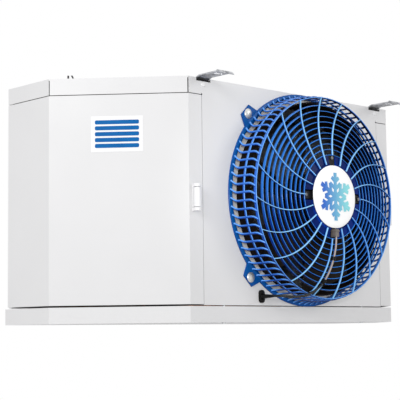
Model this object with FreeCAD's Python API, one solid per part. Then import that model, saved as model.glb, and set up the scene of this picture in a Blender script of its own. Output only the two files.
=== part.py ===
import FreeCAD, Part
import math
import os

# Hot gas defrost evaporator: a ceiling-hung unit cooler with one fan.
# X runs along the fan face, the fan blows towards -Y, and +Z is up.
# The origin is the middle of the four hanger slots, on the plane that hangs from the ceiling.
# All sizes are in millimetres.

# Cabinet form
fan_face_width = 786.0
chamfer_across = 242.0
chamfer_back = 259.0
end_face_depth = 179.0
total_height = 620.0
pan_height = 41.0
band_height = 42.0
sheet = 1.5
fold = 14.0

# Hangers
hanger_rise = 6.0
hanger_width = 46.0
hanger_plate = 3.0
hanger_inset = 53.0
hanger_reach = 90.0
hanger_slot_out = 55.0
hanger_slot_length = 30.0
hanger_slot_width = 12.0
hanger_tail = 55.0
hanger_ramp = 8.0
hanger_ramp_back = 12.0
hanger_hump = 2.5
hanger_hump_length = 16.0
hanger_curl = 8.0
hanger_tongue_gap = 10.0
hanger_notch_room = 2.0
hanger_notch_drop = 7.0

# Upright tabs on the cabinet top
tab_along = 306.0
tab_pitch = 13.0
tab_behind = 6.0
tab_width = 4.5
tab_thick = 2.5
tab_height = 9.0
tab_lean = 4.0

# Seams between the sheet parts
strip_width = 46.0
seam = 1.0
door_top_gap = 2.0
door_bottom_gap = 4.5
panel_bottom_gap = 2.5
corner_slot = 4.5
seam_relief_r = 2.5

# Fan opening and its collar
fan_offset = 31.0
orifice_r = 257.0
collar_depth = 56.0
collar_flare = 10.0
collar_lip = 12.0
collar_ahead = 50.0
collar_bead = 3.0
collar_room = 0.3

# Guard moulding
guard_flange_gap = 20.0
guard_flange_width = 12.0
guard_flange_thick = 4.0
guard_depth = 81.0
guard_front_r = 270.0
guard_dome_rise = 28.0
guard_inner_ring_r = 112.0
guard_rings = 5
guard_ring_width = 2.6
guard_ring_depth = 8.0
guard_spokes = 20
guard_spoke_width = 3.2
guard_spoke_depth = 6.0
guard_spoke_sweep = 15.0
guard_side_ribs = 80
guard_rib_width = 5.4
guard_rib_depth = 4.4
guard_rib_turn = 1.8
guard_mid_ring = 45.0
guard_rim_depth = 9.0
guard_ear_reach = 14.5
guard_ear_edge = 15.0
guard_ear_width = 40.0
guard_ear_root = 75.0
guard_hub_r = 96.0
guard_hub_bore_r = 70.0
guard_hub_thick = 8.0
guard_hub_notch = 28.0

# Motor, fan wheel and cover disc
motor_r = 64.0
motor_arm_width = 20.0
motor_arm_thick = 5.0
motor_length = 60.0
motor_gap = 0.5
rotor_r = 66.0
rotor_length = 60.0
shaft_r = 6.0
shaft_length = 40.0
running_clearance = 0.05
wheel_ring = 4.0
tip_gap = 7.0
blade_count = 5
blade_thick = 3.0
blade_root_chord = 92.0
blade_tip_chord = 150.0
blade_root_angle = 42.0
blade_tip_angle = 24.0
blade_setback = 12.0
blade_camber = 0.05
blade_sweep = 16.0
disc_r = 84.0
disc_thick = 3.0
disc_crown = 2.0
disc_edge_land = 14.0

# Screws
screw_r = 3.0
screw_head_r = 5.5
screw_head = 4.0
washer_r = 13.5
washer_thick = 1.6

# Motor lead, its gland and its clips
lead_r = 3.4
gland_x = -143.0
gland_up = 67.0
gland_flange_r = 17.0
gland_flange = 6.0
gland_body_r = 8.6
gland_tip_r = 5.0
gland_length = 46.0
gland_thread_r = 9.6
gland_thread = 16.0
connector_width = 14.0
connector_height = 20.0
connector_depth = 16.0
lead_in_box_back = 42.0
lead_in_box_rise = 40.0
lead_run_back = 66.0
lead_entry_offset = 20.0
clip_length = 10.0
clip_wall = 2.0

# Coil, its end sheets and bends
sheet_inset = 90.0
tube_sheet_thick = 2.0
coil_front = 60.0
coil_back_inset = 20.0
coil_drop = 14.0
fin_pitch = 12.0
fin_thick = 2.4
fin_core = 40.0
bend_tube_r = 6.5
bend_leg = 8.0
bend_rows = 3
bend_levels = 6
bend_row_pitch = 36.0

# Pipework
suction_r = 17.5
suction_bore_r = 16.3
header_from_sheet = 48.0
header_low = 96.0
header_high = 520.0
outlet_beyond = 55.0
liquid_r = 8.0
liquid_bore_r = 7.0
gas_r = 11.0
gas_bore_r = 9.9
loop_r = 6.0
loop_turn_r = 30.0
loop_clearance = 0.3
feeder_r = 2.6
feeder_count = 5
distributor_r = 15.0
distributor_half = 26.0
loop_line_rise = 60.0
distributor_x = -455.0
distributor_y = 30.0
distributor_up = 300.0
exit_from_distributor = 60.0
loop_joint_out = 40.0
valve_below = 60.0
valve_r = 15.0
valve_length = 58.0
grommet_wall = 6.0
grommet_thick = 5.0
liquid_bend_back = 40.0
liquid_up = 360.0
gas_up = 200.0

# Electrical box
box_depth = 70.0
box_width = 180.0
box_height = 240.0
box_up = 180.0
box_y = -12.0
cover_lip = 3.0
terminal_width = 110.0
terminal_height = 34.0
terminal_depth = 28.0
terminal_ways = 6

# Doors, pivots and latches
door_flange = 16.0
pivot_inset = 8.0
pivot_r = 3.0
pivot_tab = 2.0
pivot_lift = 0.5
pivot_tab_in = 22.0
pivot_tab_foot = 16.0
latch_up = 278.0
latch_height = 68.0
latch_r = 9.5
latch_knuckle = 8.0
latch_gap = 1.6
latch_pin_r = 2.5
latch_plate = 2.5
latch_plate_half = 5.0
latch_from_corner = 16.0
latch_tongue = 16.0

# Label plate on the left chamfer
label_width = 132.0
label_height = 91.0
label_thick = 0.8
label_up = 430.0
label_from_corner = 115.0

# Plugs over the screws at the top of the fan panel
plug_r = 6.0
plug_face_r = 4.5
plug_height = 2.0
plug_down = 17.0
plug_out = 4.0

# Drain pan
pan_rear_overhang = 11.0
pan_hem = 8.0
pan_hinge_x = 520.0
hinge_knuckle_r = 5.0
hinge_pin_r = 2.5
hinge_leaf = 2.0
hinge_width = 44.0
hinge_middle = 20.0
hinge_gap = 0.5
hinge_stand = 6.0
hinge_fixed_height = 34.0
hinge_pan_low = 28.0
hinge_pan_high = 6.0
drain_x = -250.0
drain_r = 16.75
drain_bore_r = 13.5
drain_length = 45.0
drain_nut_r = 22.0
drain_nut = 8.0
pan_bolt_x = 270.0
pan_bolt_back = 9.0
bolt_hole_room = 0.3

# Places worked out from the sizes above
half_face = fan_face_width / 2
half_width = half_face + chamfer_across
depth = chamfer_back + end_face_depth
front_y = -depth / 2
rear_y = depth / 2
cab_top = -hanger_rise
base_z = cab_top - total_height
pan_top = base_z + pan_height
band_bottom = cab_top - band_height
under_top = cab_top - sheet
door_top = band_bottom - door_top_gap
door_bottom = pan_top + door_bottom_gap
panel_bottom = pan_top + panel_bottom_gap
strip_edge = half_face - strip_width
panel_half = strip_edge - seam
fan_z = (pan_top + cab_top) / 2
sheet_x = half_face - sheet_inset
rear_panel_edge = half_width - 2 * pivot_inset - 4.0
pivot_x = half_width - pivot_inset
pivot_y = rear_y - pivot_inset
hanger_x = half_face - hanger_inset
flange_outer_r = orifice_r + guard_flange_gap + guard_flange_width
flange_inner_r = orifice_r + guard_flange_gap
ear_r = flange_outer_r + guard_ear_reach
arm_front = guard_depth + guard_dome_rise - guard_hub_thick - 1.0
hub_front = arm_front + guard_hub_thick
stator_back = arm_front - motor_length
rotor_front = stator_back - motor_gap
coil_back = rear_y - coil_back_inset
coil_low = pan_top + coil_drop
coil_high = cab_top - coil_drop
loop_z = coil_low - loop_clearance - loop_r
pipe_exit_x = distributor_x - exit_from_distributor
loop_joint_x = -sheet_x - loop_joint_out
valve_z = base_z + distributor_up - distributor_r - valve_below
hinge_y = rear_y + pan_rear_overhang + hinge_stand
hinge_z = pan_top + 1.0
latch_x = half_face - latch_from_corner
latch_y = front_y - latch_plate - latch_r - 0.3


def box(x0, x1, y0, y1, z0, z1):
    corner = FreeCAD.Vector(min(x0, x1), min(y0, y1), min(z0, z1))
    return Part.makeBox(abs(x1 - x0), abs(y1 - y0), abs(z1 - z0), corner)


def rod(radius, length, start, along):
    return Part.makeCylinder(radius, length, FreeCAD.Vector(*start), FreeCAD.Vector(*along))


def tube(radius, bore, length, start, along):
    return rod(radius, length, start, along).cut(rod(bore, length, start, along))


def fused(shapes):
    whole = shapes[0].multiFuse(shapes[1:]) if len(shapes) > 1 else shapes[0]
    return whole.removeSplitter()


def mirrored(shape):
    return shape.mirror(FreeCAD.Vector(0, 0, 0), FreeCAD.Vector(1, 0, 0))


def mirrored_in_depth(shape):
    return shape.mirror(FreeCAD.Vector(0, 0, 0), FreeCAD.Vector(0, 1, 0))


def front_point(radius, degrees, ahead):
    """A point ahead of the fan face, at an angle counted clockwise from 12 o'clock."""
    turn = math.radians(degrees)
    x = fan_offset + radius * math.sin(turn)
    z = fan_z + radius * math.cos(turn)
    return FreeCAD.Vector(x, front_y - ahead, z)


def outline(inset, rear=0.0):
    """The cabinet's plan: a rectangle with its two front corners cut off."""
    points = [(-half_width, rear_y + rear), (-half_width, rear_y - end_face_depth), (-half_face, front_y),
              (half_face, front_y), (half_width, rear_y - end_face_depth), (half_width, rear_y + rear)]
    vectors = [FreeCAD.Vector(x, y, 0) for x, y in points]
    wire = Part.makePolygon(vectors + vectors[:1])
    if inset == 0:
        return wire
    return wire.makeOffset2D(-inset, 2)


def prism(wire, low, high):
    face = Part.Face(wire)
    face.translate(FreeCAD.Vector(0, 0, low))
    return face.extrude(FreeCAD.Vector(0, 0, high - low))


def ring_wall(wall, low, high, rear=0.0):
    return prism(outline(0, rear), low, high).cut(prism(outline(wall, rear), low, high))


def lofted(sections):
    return Part.makeLoft(sections, True, True)


def bent_path(points, reach=0.45):
    """Straight runs joined by tangent arcs, each as large as its two runs allow."""
    edges = []
    last = points[0]
    for before, corner, after in zip(points, points[1:], points[2:]):
        back = before - corner
        ahead = after - corner
        shorter = min(back.Length, ahead.Length)
        back.normalize()
        ahead.normalize()
        turn = math.pi - back.getAngle(ahead)
        cut = reach * shorter
        radius = cut / math.tan(turn / 2)
        start = corner + back * cut
        end = corner + ahead * cut
        middle_way = back + ahead
        middle_way.normalize()
        centre_far = radius / math.cos(turn / 2)
        middle = corner + middle_way * (centre_far - radius)
        if (start - last).Length > 1e-6:
            edges.append(Part.makeLine(last, start))
        edges.append(Part.Arc(start, middle, end).toShape())
        last = end
    edges.append(Part.makeLine(last, points[-1]))
    return Part.Wire(edges)


def swept(points, radius, reach=0.45):
    along = points[1] - points[0]
    circle = Part.Wire(Part.makeCircle(radius, points[0], along))
    return bent_path(points, reach).makePipeShell([circle], True, False)


def cabinet_top():
    plate = prism(outline(0), under_top, cab_top)
    skirt = ring_wall(sheet, band_bottom, under_top)
    skirt = skirt.cut(box(-half_face, half_face, front_y - 1, front_y + fold, band_bottom, under_top))
    open_rear = box(-sheet_x, sheet_x, rear_y - fold, rear_y + 1, band_bottom, under_top - fold)
    top = plate.fuse(skirt.cut(open_rear))
    slot_high = under_top - 2 * sheet
    for side in (-1, 1):
        for x, y in ((half_face, front_y), (half_width, rear_y - end_face_depth)):
            cut = rod(corner_slot / 2, slot_high - band_bottom, (side * x, y, band_bottom), (0, 0, 1))
            top = top.cut(cut)
        for end in (-1, 1):
            top = top.cut(hanger_notch(side, end))
    return top.removeSplitter()


def hanger_notch(side, end):
    """Room for a hanger where it passes out through the top's edge."""
    half = hanger_width / 2 + hanger_notch_room
    low = under_top - hanger_notch_drop
    return box(side * (hanger_x - half), side * (hanger_x + half), end * (rear_y - fold), end * (rear_y + 1),
               low, cab_top + 1)


def fan_panel():
    low = box(-panel_half, panel_half, front_y, front_y + sheet, panel_bottom, band_bottom)
    high = box(-half_face + corner_slot / 2, half_face - corner_slot / 2, front_y, front_y + sheet,
               band_bottom, under_top)
    top_fold = box(-half_face + fold, half_face - fold, front_y, front_y + fold, under_top - sheet, under_top)
    low_fold = box(-panel_half, panel_half, front_y, front_y + fold, panel_bottom, panel_bottom + sheet)
    panel = fused([low, high, top_fold, low_fold])
    hole_r = orifice_r + sheet + collar_room
    panel = panel.cut(rod(hole_r, fold, (fan_offset, front_y - 1, fan_z), (0, 1, 0)))
    for side in (-1, 1):
        relief = rod(seam_relief_r, fold, (side * panel_half, front_y - 1, band_bottom), (0, 1, 0))
        panel = panel.cut(relief)
        panel = panel.cut(hanger_notch(side, -1))
        bolt_place = (side * pan_bolt_x, front_y + pan_bolt_back, panel_bottom - 1)
        hole = rod(screw_r + bolt_hole_room, fold, bolt_place, (0, 0, 1))
        panel = panel.cut(hole)
    gland_hole = rod(gland_thread_r + 0.3, fold, (gland_x, front_y - 1, base_z + gland_up), (0, 1, 0))
    return panel.cut(gland_hole).removeSplitter()


def fan_collar():
    """Round shroud that the fan runs in: a bead in front, a lip behind the panel, a flare at the back."""
    inner = orifice_r
    outer = orifice_r + sheet
    front = front_y - collar_ahead
    lip = front_y + sheet
    end = lip + collar_depth
    flare = end - collar_flare
    profile = [(inner, front), (outer + collar_bead, front), (outer + collar_bead, front + collar_bead),
               (outer, front + collar_bead), (outer, lip), (inner + collar_lip, lip),
               (inner + collar_lip, lip + sheet), (outer, lip + sheet), (outer, flare),
               (outer + collar_flare, end), (inner + collar_flare, end), (inner, flare)]
    vectors = [FreeCAD.Vector(fan_offset + r, y, fan_z) for r, y in profile]
    face = Part.Face(Part.makePolygon(vectors + vectors[:1]))
    return face.revolve(FreeCAD.Vector(fan_offset, 0, fan_z), FreeCAD.Vector(0, 1, 0), 360)


def left_tube_sheet():
    """The flat end sheet of the coil, folded outwards along its front and rear edges."""
    outer = -sheet_x
    low = panel_bottom + sheet
    high = under_top - sheet
    y0 = front_y + sheet
    y1 = rear_y - sheet
    web = box(outer, outer + tube_sheet_thick, y0, y1, low, high)
    front = box(outer - fold, outer, y0, y0 + tube_sheet_thick, low, high)
    rear = box(outer - fold, outer, y1 - tube_sheet_thick, y1, low, high)
    room = box(outer - fold, outer, y0 - 1, y1 + 1, high - 3 * hanger_plate, high + 1)
    return fused([web, front.cut(room), rear.cut(room)])


def with_loop_notches(plate):
    reach = loop_r + 2.0
    for y in loop_rows():
        gap = box(-sheet_x - fold, -sheet_x + fold, y - reach, y + reach, panel_bottom, loop_z + reach)
        plate = plate.cut(gap)
    return plate


def right_tube_sheet():
    plate = mirrored(left_tube_sheet())
    place = (sheet_x - fold, front_y + lead_run_back, base_z + gland_up)
    hole = rod(lead_r + 4.0, 3 * fold, place, (1, 0, 0))
    return plate.cut(hole)


def rear_panel(side):
    """Closes the back of an end compartment and carries the two tabs that the door turns on."""
    panel = box(side * sheet_x, side * rear_panel_edge, rear_y - sheet, rear_y, panel_bottom, band_bottom)
    x0 = side * (sheet_x + fold + 1.0)
    x1 = side * rear_panel_edge
    inside_high = box(x0, x1, rear_y - 2 * sheet, rear_y - sheet, band_bottom - fold, band_bottom + fold)
    tabs = []
    tab_in = rear_panel_edge - pivot_tab_in
    tab_out = half_width - sheet - 0.5
    y0 = pivot_y - pivot_inset
    y1 = rear_y - sheet
    foot = side * (tab_in + pivot_tab_foot)
    for low in (door_top + pivot_lift, door_bottom - pivot_lift - pivot_tab):
        tabs.append(box(side * tab_in, side * tab_out, y0, y1 - 0.5, low, low + pivot_tab))
        tabs.append(box(side * tab_in, foot, y0, y1, low, low + pivot_tab))
    panel = fused([panel, inside_high] + tabs)
    bore = rod(pivot_r + running_clearance, total_height, (side * pivot_x, pivot_y, pan_top), (0, 0, 1))
    return panel.cut(bore)


def left_rear_panel():
    panel = rear_panel(-1)
    for x, up, radius in pipe_exits():
        panel = panel.cut(rod(radius + 2.0, fold, (x, rear_y - fold / 2, base_z + up), (0, 1, 0)))
    return panel


def right_rear_panel():
    return rear_panel(1)


def row_y(row):
    return (coil_front + coil_back) / 2 + (row - (bend_rows - 1) / 2) * bend_row_pitch


def suction_place():
    return -sheet_x - header_from_sheet, row_y(bend_rows - 1)


def pipe_exits():
    """Where each pipe leaves the back of the left compartment: X, height and radius."""
    suction_x, suction_y = suction_place()
    return [(suction_x, header_low, suction_r), (pipe_exit_x, liquid_up, liquid_r),
            (pipe_exit_x, gas_up, gas_r)]


def coil_fin_pack():
    """The finned block between the end sheets; its grooves leave the fins' edges at both faces."""
    half = sheet_x - tube_sheet_thick
    block = box(-half, half, coil_front, coil_back, coil_low, coil_high)
    groove = (coil_back - coil_front - fin_core) / 2
    count = int(2 * half / fin_pitch) - 1
    start = -count * fin_pitch / 2
    gaps = []
    for step in range(count):
        x = start + step * fin_pitch + fin_thick / 2
        for y in (coil_front - 1, coil_back - groove):
            gaps.append(box(x, x + fin_pitch - fin_thick, y, y + groove + 1, coil_low - 1, coil_high + 1))
    return block.cut(Part.makeCompound(gaps))


def bend_places():
    """Height and depth of each tube leg at the end sheets."""
    middle_z = (coil_low + coil_high) / 2
    places = []
    for row in range(bend_rows):
        y = row_y(row)
        for level in range(2 * bend_levels):
            z = middle_z + (level - bend_levels + 0.5) * (coil_high - coil_low) / (2 * bend_levels)
            places.append((row, level, y, z))
    return places


def return_bend(x, side, y, z0, z1):
    """One hairpin bend between two tube legs, standing out of the end sheet."""
    out = x + side * bend_leg
    start = FreeCAD.Vector(x, y, z0)
    low = FreeCAD.Vector(out, y, z0)
    far = FreeCAD.Vector(out + side * abs(z1 - z0) / 2, y, (z0 + z1) / 2)
    high = FreeCAD.Vector(out, y, z1)
    turn = Part.Arc(low, far, high).toShape()
    path = Part.Wire([Part.makeLine(start, low), turn, Part.makeLine(high, FreeCAD.Vector(x, y, z1))])
    circle = Part.Wire(Part.makeCircle(bend_tube_r, start, FreeCAD.Vector(1, 0, 0)))
    return path.makePipeShell([circle], True, False)


def return_bends(side, first):
    bends = []
    places = bend_places()
    for row, level, y, z in places:
        if level % 2 != first or level + 1 >= 2 * bend_levels:
            continue
        if row == 0 and side < 0:
            continue
        if row == bend_rows - 1 and side < 0:
            continue
        upper = [p for p in places if p[0] == row and p[1] == level + 1][0]
        bends.append(return_bend(side * sheet_x, side, y, z, upper[3]))
    return Part.makeCompound(bends)


def left_return_bends():
    return return_bends(-1, 1)


def right_return_bends():
    return return_bends(1, 0)


def suction_header():
    """Upright collecting pipe, its coil stubs, and the outlet that turns to the rear."""
    x, y = suction_place()
    turn = 2.2 * suction_r
    outlet_y = rear_y + outlet_beyond
    points = [FreeCAD.Vector(x, y, base_z + header_high), FreeCAD.Vector(x, y, base_z + header_low),
              FreeCAD.Vector(x, outlet_y, base_z + header_low)]
    reach = turn / (outlet_y - y)
    shapes = [swept(points, suction_r, reach)]
    zs = [p[3] for p in bend_places() if p[0] == bend_rows - 1 and p[1] % 2 == 1]
    for z in zs:
        if base_z + header_low + turn < z < base_z + header_high - suction_r:
            shapes.append(rod(bend_tube_r, header_from_sheet, (-sheet_x, y, z), (-1, 0, 0)))
    whole = shapes[0]
    for stub in shapes[1:]:
        whole = whole.fuse(stub)
    bore = rod(suction_bore_r, outlet_beyond, (x, rear_y, base_z + header_low), (0, 1, 0))
    return whole.cut(bore)


def distributor():
    """Turned brass body: inlet nut, waist, and the cone that the feeder tubes leave."""
    x = distributor_x
    z = base_z + distributor_up
    end = distributor_half
    waist = 0.6 * distributor_r
    profile = [(0, -end), (distributor_r, -end), (distributor_r, -12), (waist, -8), (waist, 8),
               (distributor_r, 16), (distributor_r, end), (0, end)]
    vectors = [FreeCAD.Vector(x + along, distributor_y + r, z) for r, along in profile]
    face = Part.Face(Part.makePolygon(vectors + vectors[:1]))
    return face.revolve(FreeCAD.Vector(x, distributor_y, z), FreeCAD.Vector(1, 0, 0), 360)


def feeder_tubes():
    """Thin tubes from the distributor's cone to the front row of the coil, one for each circuit."""
    tubes = []
    start_x = distributor_x + distributor_half
    y1 = row_y(0)
    z_in = base_z + distributor_up
    levels = [p[3] for p in bend_places() if p[0] == 0]
    step_up = len(levels) // feeder_count
    for index in range(feeder_count):
        z_out = levels[1 + index * step_up]
        angle = 2 * math.pi * index / feeder_count
        y0 = distributor_y + 9.0 * math.sin(angle)
        z0 = z_in + 9.0 * math.cos(angle)
        x_turn = start_x + 28.0 + 9.0 * index
        points = [FreeCAD.Vector(start_x, y0, z0), FreeCAD.Vector(start_x + 14.0, y0, z0),
                  FreeCAD.Vector(x_turn, (y0 + y1) / 2, (z0 * 2 + z_out) / 3),
                  FreeCAD.Vector(x_turn + 8.0, y1, (z0 + z_out * 2) / 3),
                  FreeCAD.Vector(-sheet_x - 22.0, y1, z_out), FreeCAD.Vector(-sheet_x, y1, z_out)]
        tubes.append(swept(points, feeder_r))
    return Part.makeCompound(tubes)


def liquid_line():
    z = base_z + distributor_up
    z_exit = base_z + liquid_up
    points = [FreeCAD.Vector(distributor_x - distributor_half, distributor_y, z),
              FreeCAD.Vector(pipe_exit_x, distributor_y, z),
              FreeCAD.Vector(pipe_exit_x, distributor_y + liquid_bend_back, z_exit),
              FreeCAD.Vector(pipe_exit_x, rear_y + outlet_beyond, z_exit)]
    whole = swept(points, liquid_r)
    bore = rod(liquid_bore_r, outlet_beyond, (pipe_exit_x, rear_y, z_exit), (0, 1, 0))
    return whole.cut(bore)


def loop_rows():
    middle = (coil_front + coil_back) / 2
    return [middle - 2 * loop_turn_r, middle + 2 * loop_turn_r]


def hot_gas_pan_loop():
    """Warm tube laid to and fro just under the coil, to keep the drain pan free of ice."""
    first, last = loop_rows()
    x_left = loop_joint_x
    x_right = sheet_x - tube_sheet_thick - 2 * loop_turn_r
    x_back = -sheet_x + 2 * loop_turn_r
    ys = [first, first + (last - first) / 3, last - (last - first) / 3, last]
    z = loop_z
    points = [FreeCAD.Vector(x_left, ys[0], z), FreeCAD.Vector(x_right, ys[0], z),
              FreeCAD.Vector(x_right, ys[1], z), FreeCAD.Vector(x_back, ys[1], z),
              FreeCAD.Vector(x_back, ys[2], z), FreeCAD.Vector(x_right, ys[2], z),
              FreeCAD.Vector(x_right, ys[3], z), FreeCAD.Vector(x_left, ys[3], z)]
    return swept(points, loop_r)


def hot_gas_inlet_line():
    last = loop_rows()[1]
    start = FreeCAD.Vector(loop_joint_x, last, loop_z)
    points = [start, FreeCAD.Vector(pipe_exit_x, last, loop_z),
              FreeCAD.Vector(pipe_exit_x, last, base_z + gas_up),
              FreeCAD.Vector(pipe_exit_x, rear_y + outlet_beyond, base_z + gas_up)]
    whole = swept(points, loop_r, 0.3)
    z = base_z + gas_up
    end = rod(gas_r, outlet_beyond + 20.0, (pipe_exit_x, rear_y - 20.0, z), (0, 1, 0))
    whole = whole.fuse(end)
    return whole.cut(rod(gas_bore_r, outlet_beyond, (pipe_exit_x, rear_y, z), (0, 1, 0)))


def check_valve():
    """Brass one-way valve in the line from the pan loop up to the distributor."""
    profile = [(0, -valve_length / 2), (9.0, -valve_length / 2), (9.0, -18), (valve_r, -12), (valve_r, 12),
               (9.0, 18), (9.0, valve_length / 2), (0, valve_length / 2)]
    vectors = [FreeCAD.Vector(distributor_x + r, distributor_y, valve_z + along) for r, along in profile]
    face = Part.Face(Part.makePolygon(vectors + vectors[:1]))
    return face.revolve(FreeCAD.Vector(distributor_x, distributor_y, valve_z), FreeCAD.Vector(0, 0, 1), 360)


def hot_gas_side_line():
    """Two lengths: pan loop to check valve, and check valve to the distributor's side."""
    first = loop_rows()[0]
    x = distributor_x
    low_end = valve_z - valve_length / 2
    points = [FreeCAD.Vector(loop_joint_x, first, loop_z), FreeCAD.Vector(x, first, loop_z),
              FreeCAD.Vector(x, distributor_y, loop_z + loop_line_rise),
              FreeCAD.Vector(x, distributor_y, low_end)]
    lower = swept(points, loop_r)
    height = base_z + distributor_up - 9.0 - (valve_z + valve_length / 2)
    upper = rod(loop_r, height, (x, distributor_y, valve_z + valve_length / 2), (0, 0, 1))
    return Part.makeCompound([lower, upper])


def pipe_grommets():
    rings = []
    for x, up, radius in pipe_exits():
        start = (x, rear_y, base_z + up)
        ring = tube(radius + grommet_wall, radius + 0.3, grommet_thick, start, (0, 1, 0))
        rings.append(ring)
    return Part.makeCompound(rings)


def electrical_box():
    x0 = sheet_x
    y0 = box_y - box_width / 2
    z0 = base_z + box_up
    shell = box(x0, x0 + box_depth, y0, y0 + box_width, z0, z0 + box_height)
    inside = box(x0 + sheet, x0 + box_depth + 1, y0 + sheet, y0 + box_width - sheet,
                 z0 + sheet, z0 + box_height - sheet)
    return shell.cut(inside)


def electrical_cover():
    x0 = sheet_x + box_depth
    y0 = box_y - box_width / 2 - cover_lip
    z0 = base_z + box_up - cover_lip
    return box(x0, x0 + sheet, y0, y0 + box_width + 2 * cover_lip, z0, z0 + box_height + 2 * cover_lip)


def terminal_block():
    """A row of screw terminals on the back of the electrical box."""
    x0 = sheet_x + sheet
    z0 = base_z + box_up + box_height / 2
    y0 = box_y - terminal_width / 2
    body = box(x0, x0 + terminal_depth, y0, y0 + terminal_width, z0, z0 + terminal_height)
    pitch = terminal_width / terminal_ways
    for way in range(terminal_ways):
        y = y0 + (way + 0.5) * pitch
        body = body.cut(box(x0 + terminal_depth - 8, x0 + terminal_depth + 1, y - pitch / 4, y + pitch / 4,
                            z0 + 6, z0 + terminal_height - 6))
    return body


def inside_lead_points():
    y = front_y + lead_run_back
    z = base_z + gland_up
    back = front_y + gland_thread
    x_box = sheet_x + box_depth / 2
    y_box = box_y - lead_entry_offset
    return [FreeCAD.Vector(gland_x, back, z), FreeCAD.Vector(gland_x, y, z), FreeCAD.Vector(x_box, y, z),
            FreeCAD.Vector(x_box, y + lead_in_box_back, z + lead_in_box_rise / 5),
            FreeCAD.Vector(x_box, y_box, z + lead_in_box_rise),
            FreeCAD.Vector(x_box, y_box, base_z + box_up)]


def motor_lead_inside():
    return swept(inside_lead_points(), lead_r)


def dome_ahead(radius):
    """How far the middle of the guard's front stands ahead of the panel at a radius."""
    return guard_depth + guard_dome_rise * (1 - (radius / guard_front_r) ** 2)


def guard_ring(radius, width, ahead_low, ahead_high, sides, first=0.0):
    """A closed ring of straight sides, with a corner wherever a spoke or a rib crosses it."""
    faces = []
    for r in (radius + width / 2, radius - width / 2):
        points = [front_point(r, first + 360.0 * k / sides, ahead_low) for k in range(sides)]
        faces.append(Part.Face(Part.makePolygon(points + points[:1])))
    face = faces[0].cut(faces[1])
    return face.extrude(FreeCAD.Vector(0, -(ahead_high - ahead_low), 0))


def bar_section(radius, degrees, ahead, width, tall, radial):
    """A rectangle across a bar; its second side runs along the radius or along the fan axis."""
    turn = math.radians(degrees)
    across = FreeCAD.Vector(math.cos(turn), 0, -math.sin(turn)) * (width / 2)
    out = FreeCAD.Vector(math.sin(turn), 0, math.cos(turn)) * (tall / 2)
    if not radial:
        out = FreeCAD.Vector(0, -tall / 2, 0)
    middle = front_point(radius, degrees, ahead)
    corners = [middle + across + out, middle - across + out, middle - across - out, middle + across - out]
    return Part.makePolygon(corners + corners[:1])


def guard_spoke(degrees, first_r):
    """One spoke of the domed front: radial near the hub and swept sideways towards the rim."""
    radii = [first_r] + [r for r in ring_radii() if r > first_r + 4] + [guard_front_r]
    sections = []
    for r in radii:
        angle = degrees + spoke_sweep(r)
        sections.append(bar_section(r, angle, dome_ahead(r), guard_spoke_width, guard_spoke_depth, False))
    return lofted(sections)


def spoke_sweep(radius):
    """Degrees by which a spoke has moved sideways at a radius."""
    share = max(0.0, (radius - guard_inner_ring_r) / (guard_front_r - guard_inner_ring_r))
    return guard_spoke_sweep * share ** 1.6


def ring_radii():
    pitch = (guard_front_r - guard_inner_ring_r) / guard_rings
    return [guard_inner_ring_r + pitch * k for k in range(guard_rings)]


def guard_side_rib(degrees):
    """One rib of the guard's side, with its foot curving out to the flange."""
    stations = [(flange_inner_r + 4.0, 1.5, guard_rib_turn), (flange_inner_r - 1.0, 14.0, 0.0),
                (guard_front_r + 3.5, 0.75 * guard_depth, 0.0), (guard_front_r, guard_depth, -guard_rib_turn)]
    sections = []
    for r, ahead, turn in stations:
        sections.append(bar_section(r, degrees + turn, ahead, guard_rib_width, guard_rib_depth, True))
    return lofted(sections)


def guard_ear(degrees):
    """Flat lug beside the flange, wide at its root and straight along its outer edge."""
    turn = math.radians(degrees)
    across = FreeCAD.Vector(math.cos(turn), 0, -math.sin(turn))
    root = front_point((flange_inner_r + flange_outer_r) / 2, degrees, 0)
    edge = front_point(ear_r + guard_ear_edge, degrees, 0)
    half_root = across * (guard_ear_root / 2)
    half_edge = across * (guard_ear_width / 2)
    corners = [root + half_root, edge + half_edge, edge - half_edge, root - half_root]
    face = Part.Face(Part.makePolygon(corners + corners[:1]))
    return face.extrude(FreeCAD.Vector(0, -guard_flange_thick, 0))


def guard_hub():
    """Flat ring that the motor hangs on, with a gap for each motor arm."""
    middle_r = (guard_hub_r + guard_hub_bore_r) / 2
    width = guard_hub_r - guard_hub_bore_r
    hub = guard_ring(middle_r, width, arm_front, hub_front, guard_side_ribs)
    half = guard_hub_notch / 2
    y0 = front_y - arm_front + 1.0
    for dx, dz in ((1, 0), (-1, 0), (0, 1), (0, -1)):
        x = fan_offset + dx * middle_r
        z = fan_z + dz * middle_r
        notch = box(x - half, x + half, y0, y0 - guard_hub_thick - 2.0, z - half, z + half)
        hub = hub.cut(notch)
    return hub


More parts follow.
